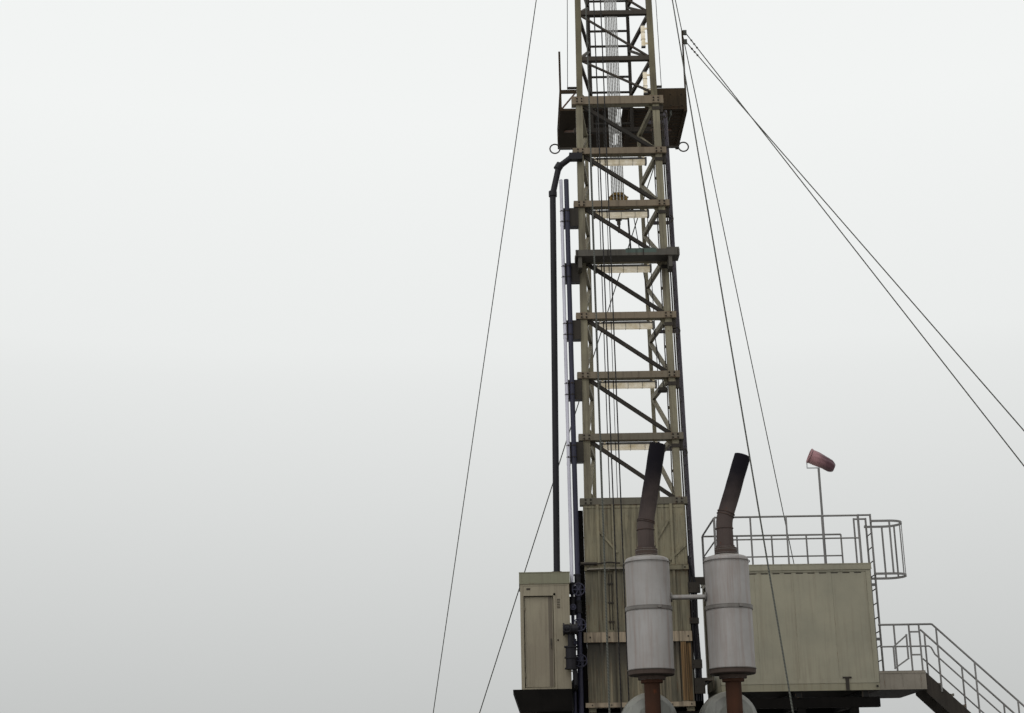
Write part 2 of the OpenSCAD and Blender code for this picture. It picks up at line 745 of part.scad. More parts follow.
// A gate valve on a standing pipe, with its handwheel to the front
module pipe_valve(x, z, d, wheel) {
    translate([x, pipe_y, z - 110]) cylinder(h = 220, d = d + 50, $fn = 24);
    translate([x, pipe_y, z]) rotate([90, 0, 0]) cylinder(h = 170, d = d, $fn = 24);
    translate([x, pipe_y, z]) rotate([90, 0, 0]) cylinder(h = 300, d = 50, $fn = 24);
    translate([x, pipe_y - 270, z])
        rotate([90, 0, 0]) {
            rotate_extrude($fn = 32) translate([wheel, 0]) circle(d = 24, $fn = 12);
            for (a = [0, 60, 120]) rotate([0, 0, a]) translate([-wheel, -9, -9]) cube([2 * wheel, 18, 18]);
        }
}
// Mud pipe and conduit beside the left leg, held by a bracket below each girt
module mud_pipe() painted("#23264a") {
    for (p = [[mud_x, 110], [conduit_x, 70]])
        translate([p.x, pipe_y, 600]) cylinder(h = 15150, d = p.y, $fn = 24);
    for (z = [4780, 5520, 6260]) pipe_valve(mud_x, z, 110, 130);
    for (z = [5150, 5890]) pipe_valve(conduit_x, z, 66, 55);
    for (i = [1:bays - 2]) {
        z = girt_z(i) - girt_h / 2;
        block([conduit_x, pipe_y + 35, z - 480], [-half_w(z - 480) - leg_w / 2 - seat, near_y + 60, z - 30]);
    }
}
// Ladder on the right side of the mast, on brackets at the side girts
module mast_ladder() painted(steel_dark) {
    lean = half_w(floor_z) - half_w(splice_z);
    for (y = ladder_ys)
        rod([ladder_x, y, floor_z + seat], [ladder_x - lean, y, splice_z], 60);
    for (z = [floor_z + 300:300:splice_z - 100])
        rod([ladder_x - lean * (z - floor_z) / (splice_z - floor_z), ladder_ys[0], z],
            [ladder_x - lean * (z - floor_z) / (splice_z - floor_z), ladder_ys[1], z], 30);
    for (i = [1:2:bays], y = ladder_ys) {
        z = girt_z(i);
        x = half_w(z) - far_leg_inset * (y - 20 - near_y) / mast_depth + 40 + 2;
        block([x + seat, y - 20, z - 40],
              [ladder_x - lean * (z - floor_z) / (splice_z - floor_z), y + 20, z + 40]);
    }
}

// Guy lines and their ground anchors
module guy(p, q) {
    rod(p, q, guy_d);
    translate(q) cylinder(h = 220, d = 90, center = true, $fn = 12);
}
module guy_lines() painted("#3b3f3d") {
    for (i = [0:3]) {
        f = guy_feet[i];
        far = sign(f.y) > 0;
        x = sign(f.x) * (far ? crown_x - 60 : guy_near_x);
        top = [x, far ? crown_y1 - 60 : crown_y0 + 60, guy_top_z - 150];
        guy(top, [f.x, f.y, anchor_t + 110 + seat]);
        translate(top) translate([-25, -25, -60]) cube([50, 50, 210]);
    }
    guy(board_guy_top, [board_guy_foot.x, board_guy_foot.y, anchor_t + 110 + seat]);
    translate(board_guy_top) translate([-25, -25, -40]) cube([50, 50, 150 - seat]);
    for (i = [0, 1]) {
        top = escape_top - [0, 0, 260 * i];
        guy(top, [escape_feet[i].x, escape_feet[i].y, anchor_t + 110 + seat]);
        translate(top) translate([-60 + seat, -30, -60]) cube([90, 60, 120]);
    }
}
module ground_anchors() painted(steel_dark) {
    for (f = concat(guy_feet, escape_feet, [board_guy_foot]))
        translate([f.x, f.y, 0]) {
            translate([-anchor_size / 2, -anchor_size / 2, 0]) cube([anchor_size, anchor_size, anchor_t]);
        }
}

// Lines and travelling block
module drill_lines() painted("#6a655b") {
    for (i = [0:sheave_count - 1])
        for (s = [-1, 1])
            translate([(i - (sheave_count - 1) / 2) * sheave_pitch, s * line_y, block_sheave_z])
                cylinder(h = sheave_z - block_sheave_z, d = drill_line_d, $fn = 8);
}
module travelling_block() painted("#b07a1e") {
    x = block_w / 2;
    y = block_depth / 2;
    z0 = block_top_z - block_h;
    z1 = block_top_z;
    for (s = [-1, 1])
        translate([s * (x - 25) - 25, 0, 0])
            rotate([90, 0, 90])
                linear_extrude(50)
                    polygon([[-y, z1 - 220], [-y + 130, z1 - 110], [y - 130, z1 - 110], [y, z1 - 220],
                             [y, z0 + 230], [110, z0], [-110, z0], [-y, z0 + 230]]);
    translate([0, 100, 0])
        rotate([90, 0, 0])
            linear_extrude(200)
                polygon([[-x, z1 - 140], [-x, z1 - 110], [-107, z1], [107, z1], [x, z1 - 110], [x, z1 - 140],
                         [x - 34, z1 - 140], [x - 50, z1 - 74], [50 - x, z1 - 74], [34 - x, z1 - 140]]);
    block([-x + 49, -100, z0], [x - 49, 100, z0 + 32]);
    for (i = [0:sheave_count - 1])
        translate([(i - (sheave_count - 1) / 2) * sheave_pitch, 0, block_sheave_z])
            sheave(crown_sheave_d, sheave_t);
    shaft(-x - 30, x + 30, 0, block_sheave_z);
}
module block_hook() painted("#8a5e1a") {
    z = block_top_z - block_h - seat;
    translate([0, 0, z - hook_shank]) cylinder(h = hook_shank, d = 90, $fn = 32);
    translate([0, 0, z - 60]) cylinder(h = 60, d = 150, $fn = 32);
    translate([0, 0, z - hook_shank + 20 - hook_r])
        rotate([0, 90, 0])
            rotate([0, 0, 175])
                rotate_extrude(angle = 285, $fn = 48) translate([hook_r, 0]) circle(d = 52, $fn = 24);
}
module fast_line() painted("#4a463f") {
    for (x = fast_xs)
        rod([x, fast_y, fast_z], [x, drum_y + (drum_d + drill_line_d) / 2 + 2 * seat, drum_z], drill_line_d);
}

// Drawworks on the skid in front of the mast: a drum with brake rims between two chain cases
module chain_case(x, t) {
    translate([x, drum_y, 0])
        rotate([90, 0, 90])
            linear_extrude(t) {
                translate([0, drum_z]) circle(r = drum_d / 2 + 230, $fn = 64);
                translate([-720, skid_z + 349]) square([1440, 420]);
                translate([620, drum_z - 320]) circle(r = 260, $fn = 48);
            }
}
module drawworks() painted("#7d7a68") {
    block([-hoist_half_w, drum_y - 1000, skid_z + seat], [hoist_half_w, drum_y + 800, skid_z + 350]);
    for (s = [-1, 1]) chain_case(s * (hoist_half_w - 200) - 110, 220);
    translate([-hoist_half_w + 300, drum_y, drum_z])
        rotate([0, 90, 0])
            cylinder(h = 2 * hoist_half_w - 600, d = drum_d, $fn = 64);
    for (s = [-1, 1])
        translate([s * (hoist_half_w - 390) - 60, drum_y, drum_z])
            rotate([0, 90, 0]) cylinder(h = 120, d = drum_d + 300, $fn = 64);
    translate([-hoist_half_w - 190, drum_y + 620, drum_z - 320])
        rotate([0, 90, 0]) cylinder(h = 2 * hoist_half_w + 380, d = 120, $fn = 32);
    for (s = [-1, 1])
        translate([s * (hoist_half_w + 95) - 85, drum_y + 620, drum_z - 320])
            rotate([0, 90, 0]) cylinder(h = 170, d = 420, $fn = 48);
    block([silencer_left_x - 320, compound_y, skid_z + seat],
          [silencer_right_x + 320, drum_y - 1060, skid_z + 1000]);
    block([-150, drum_y - 1061, skid_z + 300], [300, drum_y - 560, skid_z + 760]);
}
module engine_skid() painted(steel_dark) {
    for (x = skid_xs)
        i_beam_y(x, -skid_near + 100, base_near - seat, 0, base_beam_h, 260, 26);
    for (y = [100 - engine_front + 0, silencer_y + 200, drum_y - 1200, drum_y + 700], x = skid_xs)
        block([x - 80, y - 80, base_beam_h - 1], [x + 80, y + 80, skid_z - skid_deck_t + 1]);
    block([-hoist_half_w - 100, -skid_near, skid_z - skid_deck_t],
          [silencer_right_x + 770, drum_y + 900, skid_z]);
}

// One engine: crankcase with two banks of cylinder heads, radiator, fan and converter housing
module engine_section() {
    w = engine_half_w;
    h = engine_h;
    polygon([[-240, 140], [240, 140], [300, 380], [w, 520], [w, 700], [w - 130, h - 200], [170, h],
             [-170, h], [-w + 130, h - 200], [-w, 700], [-w, 520], [-300, 380]]);
}
module engine() {
    crank_y1 = crank_y0 + engine_len;
    pitch = engine_len / cylinders;
    for (s = [-1, 1]) {
        block([s * 260 - 60, -engine_front, 0], [s * 260 + 60, crank_y1 + 400, 151]);
        for (i = [0:cylinders - 1])
            translate([s * (engine_half_w - 65), crank_y0 + (i + 0.5) * pitch, engine_h - 375])
                rotate([0, s * 69.6, 0])
                    translate([-160, -0.4 * pitch, -20])
                        cube([320, 0.8 * pitch, 95]);
    }
    translate([0, crank_y1, 0]) rotate([90, 0, 0]) linear_extrude(engine_len) engine_section();
    translate([0, crank_y1 - 1, 620])
        rotate([-90, 0, 0])
            rotate_extrude($fn = 64)
                polygon([[0, 0], [400, 0], [400, 160], [320, 220], [250, 420], [120, 420],
                         [120, shaft_reach], [0, shaft_reach]]);
    for (y = [crank_y0 + 300, crank_y1 - 300])
        block([-360, y - 60, 140], [360, y + 60, 240]);
    radiator();
}
module radiator() {
    y0 = -engine_front;
    difference() {
        block([-430, y0, 100], [430, y0 + 300, engine_h + 250]);
        block([-370, y0 - 1, 260], [370, y0 + 40, engine_h + 150]);
    }
    slat = (engine_h - 120) / 12;
    for (i = [0:11])
        block([-371, y0 + 8, 275 + i * slat], [371, y0 + 41, 310 + i * slat]);
    translate([0, y0 + 299, 800])
        rotate([-90, 0, 0])
            difference() {
                cylinder(h = 160, d = 800, $fn = 64);
                translate([0, 0, -1]) cylinder(h = 162, d = 740, $fn = 64);
            }
    translate([0, y0 + 299, 800]) rotate([-90, 0, 0]) cylinder(h = crank_y0 - y0 - 298, d = 110, $fn = 32);
    translate([0, y0 + 340, 800]) rotate([-90, 0, 0]) cylinder(h = 40, d = 330, $fn = 48);
    for (a = [0:45:315])
        translate([0, y0 + 360, 800]) rotate([0, a, 0]) block([100, -8, -60], [350, 8, 60]);
    for (s = [-1, 1])
        translate([s * 230, y0 + 299, engine_h - 120])
            rotate([-90, 0, 0]) cylinder(h = crank_y0 - y0 - 298, d = 90, $fn = 24);
}
module engines() painted("#8a8a80")
    for (x = [silencer_left_x, silencer_right_x])
        translate([x, 0, skid_z + seat]) engine();
module exhaust_drums() painted(grey) {
    for (x = [silencer_left_x, silencer_right_x]) {
        translate([x, -5650, 3300])
            rotate([-90, 0, 0])
                rotate_extrude($fn = 64)
                    polygon([[0, 0], [250, 15], [400, 80], [480, 200], [500, 330], [500, 700], [512, 700],
                             [512, 760], [500, 760], [500, 1000], [440, 1080], [250, 1130], [0, 1140]]);
        for (y = [-5250, -4900])
            block([x - 160, y - 60, skid_z + engine_h + 2 * seat], [x + 160, y + 60, 2900]);
    }
}
module exhaust_risers() painted(rust) {
    z0 = skid_z + engine_h + 2 * seat;
    for (x = [silencer_left_x, silencer_right_x])
        translate([x, silencer_y, z0]) {
            cylinder(h = silencer_z - 120 - z0 - seat, d = riser_d, $fn = 32);
            cylinder(h = 50, d = riser_d + 110, $fn = 32);
            translate([0, 0, silencer_z - 170 - z0 - seat]) cylinder(h = 50, d = riser_d + 110, $fn = 32);
        }
}

// Silencers with their outlet pipes
module silencers() painted(grey) {
    r = silencer_d / 2;
    for (x = [silencer_left_x, silencer_right_x])
        translate([x, silencer_y, silencer_z])
            rotate_extrude($fn = 64)
                polygon([[0, -120], [220, -120], [220, -80], [r - 60, 20], [r + 8, 20], [r + 8, 60], [r, 60],
                         [r, 1080],
                         [r + 14, 1080], [r + 14, 1150], [r, 1150], [r, silencer_h - 110],
                         [r - 70, silencer_h - 40], [200, silencer_h], [200, silencer_h + 130],
                         [0, silencer_h + 130]]);
    translate([silencer_left_x + r - 40, silencer_y, silencer_z + 1330])
        rotate([0, 90, 0])
            cylinder(h = silencer_right_x - silencer_left_x - silencer_d + 80, d = 90, $fn = 24);
}
// Outlet pipe: straight up, a short bend to the right, then straight
module outlet(turn, len) {
    r = 900;
    translate([0, 0, 330]) cylinder(h = 40, d = outlet_d + 30, $fn = 32);
    translate([r, 0, 350])
        rotate([0, turn, 0])
            translate([-r, 0, -20]) cylinder(h = 40, d = outlet_d + 30, $fn = 32);
    cylinder(h = 350, d = outlet_d, $fn = 32);
    translate([r, 0, 350])
        rotate([90, 0, 0])
            rotate([0, 0, 180 - turn])
                rotate_extrude(angle = turn, $fn = 64) translate([r, 0]) circle(d = outlet_d, $fn = 32);
    translate([r, 0, 350])
        rotate([0, turn, 0])
            translate([-r, 0, 0]) cylinder(h = len, d = outlet_d, $fn = 32);
}
module silencer_outlets() painted("#2b2523") {
    z = silencer_z + silencer_h + 130 + seat;
    translate([silencer_left_x, silencer_y, z]) outlet(11, 1450);
    translate([silencer_right_x, silencer_y, z]) outlet(19, 1120);
}

// Doghouse
module doghouse_floor() painted("#6b6759") {
    block([dog_x0, dog_y0, dog_z0], [dog_x1, dog_y1, dog_z0 + 150]);
    for (x = [dog_x0 + 130, 3200, dog_x1 - 300])
        block([x - 70, dog_y0 + 40, stand_z + seat], [x + 70, dog_y1 - 40, dog_z0 + 1]);
}
module doghouse_long_walls() painted(cream) {
    for (y = [dog_y0, dog_y1 - wall_t])
        block([dog_x0, y, dog_wall_z], [dog_x1, y + wall_t, dog_roof_z - seat]);
}
module doghouse_end_walls() painted(cream) {
    y0 = dog_y0 + wall_t + seat;
    y1 = dog_y1 - wall_t - seat;
    for (x = [dog_x0, dog_x1 - wall_t])
        difference() {
            block([x, y0, dog_wall_z], [x + wall_t, y1, dog_roof_z - seat]);
            block([x - 1, y1 - 200 - dog_door_w, dog_wall_z - 1],
                  [x + wall_t + 1, y1 - 200, floor_z + dog_door_h]);
        }
}
module doghouse_roof() painted(cream)
    block([dog_x0 - 30, dog_y0 - 30, dog_roof_z], [dog_x1 + 30, dog_y1 + 30, dog_z1]);

module roof_rails() painted(grey) {
    e = 50;
    z = dog_z1 + seat;
    fifths = [0, 0.25, 0.5, 0.75, 1];
    railing([dog_x0 + e, dog_y0 + e, z], [dog_x1 - 150, dog_y0 + e, z], roof_rail_h, fifths);
    railing([dog_x0 + e, dog_y1 - e, z], [dog_x1 - e, dog_y1 - e, z], roof_rail_h, fifths);
    railing([dog_x0 + e, dog_y0 + 150, z], [dog_x0 + e, dog_y1 - 150, z], roof_rail_h, [0, 1]);
}

// Ladder from the landing to the roof, with its safety cage
module cage_hoop() {
    linear_extrude(height = 50)
        difference() {
            union() {
                translate([cage_out - cage_w, 0]) circle(r = cage_w, $fn = 48);
                translate([0, -cage_w]) square([cage_out - cage_w, 2 * cage_w]);
            }
            translate([cage_out - cage_w, 0]) circle(r = cage_w - 12, $fn = 48);
            translate([-1, -cage_w + 12]) square([cage_out - cage_w + 1, 2 * cage_w - 24]);
        }
}
module roof_ladder() painted(grey) {
    x = dog_x1 + 250;
    for (s = [-1, 1]) {
        y = ladder_mid_y + s * 225;
        rod([x, y, floor_z + seat], [x, y, dog_z1 + 1160], 45);
        rod([x, y, dog_z1 + 1140], [dog_x1 - 10, y, dog_z1 + 1140], 40);
        rod([dog_x1 - 10, y, dog_z1 + seat], [dog_x1 - 10, y, dog_z1 + 1160], 40);
    }
    for (z = [floor_z + 300:300:dog_z1 + 900])
        rod([x, ladder_mid_y - 225, z], [x, ladder_mid_y + 225, z], 26);
    for (z = [dog_z1 - 180, dog_z1 + 960]) {
        translate([x, ladder_mid_y, z]) cage_hoop();
        for (s = [-1, 1])
            block([x - 20, ladder_mid_y + s * 290 - 62, z], [x + 8, ladder_mid_y + s * 290 + 62, z + 50]);
    }
    for (a = [-90, -45, 0, 45, 90])
        translate([x + cage_out - cage_w, ladder_mid_y, 0])
            rotate([0, 0, a])
                translate([cage_w - 9, -20, dog_z1 - 180]) cube([8, 40, 1190]);
    for (z = [floor_z + 700, dog_z1 - 400], s = [-1, 1])
        block([dog_x1 + seat, ladder_mid_y + s * 225 - 10, z], [x, ladder_mid_y + s * 225 + 10, z + 60]);
}

// Landing and stair
module landing() painted(cream) {
    block([dog_x1 + seat, dog_y0, dog_z0], [landing_x1, dog_y1, floor_z]);
}
module landing_rails() painted(grey) {
    y = dog_y0 + 50;
    z = floor_z + seat;
    x0 = dog_x1 + 90;
    x1 = landing_x1 - 40;
    railing([x0, y, z], [x1, y, z], rail_top, [0.38, 0.75, 1]);
    rod([x1, y, z + rail_top], [stair_x0 + 200, y, z + rail_top], rail_d);
    block([x0 + 260, y - 16, z + 50], [x0 + 290, y + 16, z + 500]);
    block([x0 + 550, y - 16, z + 250], [x0 + 580, y + 16, z + 760]);
    bar([x0 + 260, y, z + 490], [x0 + 580, y, z + 750], 30, 30);
    bar([x0 + 260, y, z + 60], [x0 + 580, y, z + 270], 30, 30);
    for (h = [320, 790]) block([x0 + 620, y - 16, z + h], [x1, y + 16, z + h + 32]);
    block([x0 + 620, y - 16, z + 320], [x0 + 650, y + 16, z + 822]);
}
module stair_stringers() painted(steel_dark) {
    for (y = [stair_y0, stair_y0 + stair_w + 50])
        translate([0, y + 50, 0])
            rotate([90, 0, 0])
                linear_extrude(50)
                    polygon([[stair_x0, floor_z], [stair_x0 + stair_run, 0], [stair_x0 + stair_run - 450, 0],
                             [stair_x0, floor_z - 420]]);
}
module stair_treads() painted(grey) {
    for (i = [1:treads])
        translate([stair_x0 + stair_run * i / (treads + 1) - 130, stair_y0 + 50 + seat,
                   floor_z * (1 - i / (treads + 1)) - 60])
            cube([250, stair_w - 2 * seat, 40]);
}
module stair_rails() painted(grey) {
    for (y = [stair_y0 - rail_post_d / 2 - seat, stair_y0 + stair_w + 100 + rail_post_d / 2 + seat]) {
        h = rail_top + 230 * tan(stair_angle) + 120;
        p = [stair_x0 + 230, y, floor_z - 230 * tan(stair_angle) - 120];
        q = [stair_x0 + stair_run - 260, y, 260 * tan(stair_angle) - 120];
        railing(p, q, h, [0.02, 0.2, 0.4, 0.6, 0.8, 1]);
    }
}

// Locker
door_knuckles = [250, door_h / 2, door_h - 250];
module locker_shell() painted(cream) {
    z1 = lock_z0 + lock_h;
    difference() {
        union() {
            block([lock_x0, lock_y0, lock_z0], [lock_x1, lock_y0 + lock_depth, z1]);
            block([lock_x0 - 18, lock_y0 - 18, z1 - 240], [lock_x1 + 18, lock_y0 + lock_depth, z1]);
        }
        block([lock_x0 + lock_wall, lock_y0 + door_recess + door_t + 20, lock_z0 + 40],
              [lock_x1 - lock_wall, lock_y0 + lock_depth - lock_wall, z1 - 50]);
        block([door_x0, lock_y0 - 1, door_z0], [door_x0 + door_w, lock_y0 + 200, door_z0 + door_h]);
    }
    for (k = door_knuckles) {
        translate([hinge_x, hinge_y, door_z0 + k - 40]) cylinder(h = 40 - seat, d = 22, $fn = 24);
        translate([hinge_x, hinge_y, door_z0 + k - 1]) cylinder(h = 50, d = 12, $fn = 24);
        block([door_x0 - 1, hinge_y - 5, door_z0 + k - 40], [hinge_x, hinge_y + 5, door_z0 + k - seat]);
    }
}
module locker_door() painted(cream) {
    y = hinge_y + 8;
    difference() {
        union() {
            block([hinge_x, y, door_z0 + run_gap],
                  [door_x0 + door_w - run_gap, y + door_t, door_z0 + door_h - run_gap]);
            for (k = door_knuckles)
                translate([hinge_x, hinge_y, door_z0 + k]) cylinder(h = 60, d = 22, $fn = 24);
        }
        for (k = door_knuckles)
            translate([hinge_x, hinge_y, door_z0 + k - 1]) cylinder(h = 62, d = 12.2, $fn = 24);
        for (k = door_knuckles)
            block([hinge_x - 20, hinge_y - 20, door_z0 + k - 60], [hinge_x + 24, y + 8, door_z0 + k]);
    }
}
module locker_platform() painted("#1c1b19") {
    y0 = lock_y0 - 60;
    y1 = lock_y0 + lock_depth;
    z0 = lock_z0 - 450;
    z1 = lock_z0 - seat;
    translate([0, y1, 0])
        rotate([90, 0, 0])
            linear_extrude(y1 - y0)
                polygon([[lock_x0 - 180, z1], [lock_x0 - 30, z0], [floor_left - seat, z0],
                         [floor_left - seat, z1]]);
    block([floor_left - seat - 1, y0, z0], [lock_x1, floor_near - seat, z1]);
}
// Windsock
module windsock_pole() painted(grey)
    translate([sock_pole.x, sock_pole.y, dog_z1 + seat])
        cylinder(h = pole_top_z - dog_z1 - seat, d = 50, $fn = 24);
sock_mouth = [-183, 290];
module windsock_hoop() painted(grey) {
    translate([sock_pole.x, sock_pole.y, pole_top_z]) {
        translate([0, 0, seat]) cylinder(h = 26, d = 50, $fn = 24);
        translate([-262, -12, 2]) cube([262, 24, 22]);
        translate([-262, -12, 2]) cube([20, 24, 140]);
        translate([sock_mouth.x, 0, sock_mouth.y])
            rotate([0, 90 + sock_tilt, 0])
                rotate_extrude($fn = 48) translate([160, 0]) circle(d = 20, $fn = 12);
    }
}
module windsock() painted("#8d5a60") {
    translate([sock_pole.x + sock_mouth.x, sock_pole.y, pole_top_z + sock_mouth.y])
        rotate([0, 90 + sock_tilt, 0])
            translate([0, 0, 10 + seat])
                difference() {
                    cylinder(h = sock_l, r1 = 160, r2 = 125, $fn = 32);
                    translate([0, 0, -1]) cylinder(h = sock_l + 2, r1 = 148, r2 = 113, $fn = 32);
                }
}

base_beams();
near_frame();
middle_frame();
far_frame();
doghouse_stand();
stand_posts();
floor_joists();
rig_floor();
rotary_table();
floor_rails();
mast_near_face();
mast_left_side();
mast_right_side();
mast_far_legs();
mast_diagonals();
mast_arms();
wind_walls();
belly_platform();
racking_board();
board_wind_wall();
upper_near_face();
upper_left_side();
upper_right_side();
upper_far_frame();
crown_frame();
crown_sheaves();
light_fixtures();
standpipe();
mud_pipe();
mast_ladder();
guy_lines();
ground_anchors();
drill_lines();
travelling_block();
block_hook();
fast_line();
drawworks();
engine_skid();
engines();
exhaust_drums();
exhaust_risers();
silencers();
silencer_outlets();
doghouse_floor();
doghouse_long_walls();
doghouse_end_walls();
doghouse_roof();
roof_rails();
roof_ladder();
landing();
landing_rails();
stair_stringers();
stair_treads();
stair_rails();
locker_shell();
locker_door();
locker_platform();
windsock_pole();
windsock_hoop();
windsock();
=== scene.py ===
# %% [markdown]
# # An oil drilling rig
#
# The rig is a tall guyed mast on a raised floor. A doghouse and a stair stand to its right, a locker to
# its left, and a row of engines with tall silencers stands in front. The construction comes from the
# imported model, so every beam is already in its place. This script gives the steel its paint, grease, soot
# and rust, and adds what is too fine for the construction: bolts, gussets, cables, clamps, seams, grating
# and cloth.

# %% Load the construction
import math

import bmesh
import bpy
from mathutils import Matrix, Vector, noise


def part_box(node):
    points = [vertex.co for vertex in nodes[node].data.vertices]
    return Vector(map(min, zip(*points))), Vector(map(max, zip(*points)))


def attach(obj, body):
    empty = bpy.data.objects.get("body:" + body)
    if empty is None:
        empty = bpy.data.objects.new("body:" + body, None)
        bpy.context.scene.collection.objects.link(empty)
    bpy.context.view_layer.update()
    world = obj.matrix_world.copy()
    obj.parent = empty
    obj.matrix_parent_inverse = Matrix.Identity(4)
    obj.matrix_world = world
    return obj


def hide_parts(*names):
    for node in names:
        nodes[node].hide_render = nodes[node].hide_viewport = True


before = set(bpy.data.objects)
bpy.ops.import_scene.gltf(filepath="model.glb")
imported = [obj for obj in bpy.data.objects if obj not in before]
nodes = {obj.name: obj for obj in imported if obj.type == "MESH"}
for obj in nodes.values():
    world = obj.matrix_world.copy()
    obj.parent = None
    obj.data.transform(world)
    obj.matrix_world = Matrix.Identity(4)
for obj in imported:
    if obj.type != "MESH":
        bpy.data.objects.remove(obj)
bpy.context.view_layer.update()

rotary_low, rotary_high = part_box("rotary_table")
WELL = (rotary_low + rotary_high) / 2
WELL.z = 0


# %% [markdown]
# ## Camera
#
# The picture is taken from the ground in front of the engines, looking up at the mast. A camera at eye
# height with a normal lens, tilted up by about 17 degrees, gives the same lines that lean together toward
# the top. The picture leans a little, so the camera is rolled to match.

# %% Camera
EYE_HEIGHT = 1.6
CAMERA_DISTANCE = 33.0
CAMERA_LEFT_OF_WELL = 2.58
TILT_UP = math.radians(17.25)
ROLL = math.radians(0.935)
FOCAL_PIXELS = 1500.0
PICTURE_WIDTH = 1024

camera_data = bpy.data.cameras.new("camera")
camera_data.sensor_width = 36.0
camera_data.lens = FOCAL_PIXELS / PICTURE_WIDTH * camera_data.sensor_width
camera_data.clip_start = 0.1
camera_data.clip_end = 400.0
camera = bpy.data.objects.new("camera", camera_data)
bpy.context.scene.collection.objects.link(camera)
camera.matrix_world = (
    Matrix.Translation((WELL.x - CAMERA_LEFT_OF_WELL, -CAMERA_DISTANCE, EYE_HEIGHT))
    @ Matrix.Rotation(math.radians(90) + TILT_UP, 4, "X")
    @ Matrix.Rotation(-ROLL, 4, "Z")
)
bpy.context.scene.camera = camera


# %% [markdown]
# ## Nodes and colours
#
# A surface is a small network of shader nodes. One function adds a node with its settings and its links,
# and one turns a colour as a painter would name it, in sRGB hex, to the linear values that light is
# reckoned in. Pattern sizes are stated in millimetres, and one function turns them to a texture's scale.


# %% Helpers for materials
def linear(hex_colour):
    """The linear colour, with alpha, of an sRGB hex colour."""
    parts = [int(hex_colour[i : i + 2], 16) / 255 for i in (1, 3, 5)]
    return [v / 12.92 if v <= 0.04045 else ((v + 0.055) / 1.055) ** 2.4 for v in parts] + [1.0]


def add(tree, kind, inputs=None, **settings):
    """One shader node. Each input gets a value, or the socket that it is linked from."""
    made = tree.nodes.new("ShaderNode" + kind)
    for name, value in settings.items():
        setattr(made, name, value)
    for key, value in (inputs or {}).items():
        if isinstance(value, bpy.types.NodeSocket):
            tree.links.new(value, made.inputs[key])
        else:
            made.inputs[key].default_value = value
    return made


def scale_of(size_mm):
    """The texture scale whose blotches are about size_mm across."""
    return 1000.0 / size_mm


def new_material(name):
    """An empty material with its output, its Principled shader and coordinates in metres."""
    made = bpy.data.materials.new(name)
    made.use_nodes = True
    tree = made.node_tree
    tree.nodes.clear()
    shader = add(tree, "BsdfPrincipled")
    add(tree, "OutputMaterial", {"Surface": shader.outputs["BSDF"]})
    place = add(tree, "TexCoord").outputs["Object"]
    return made, tree, shader, place
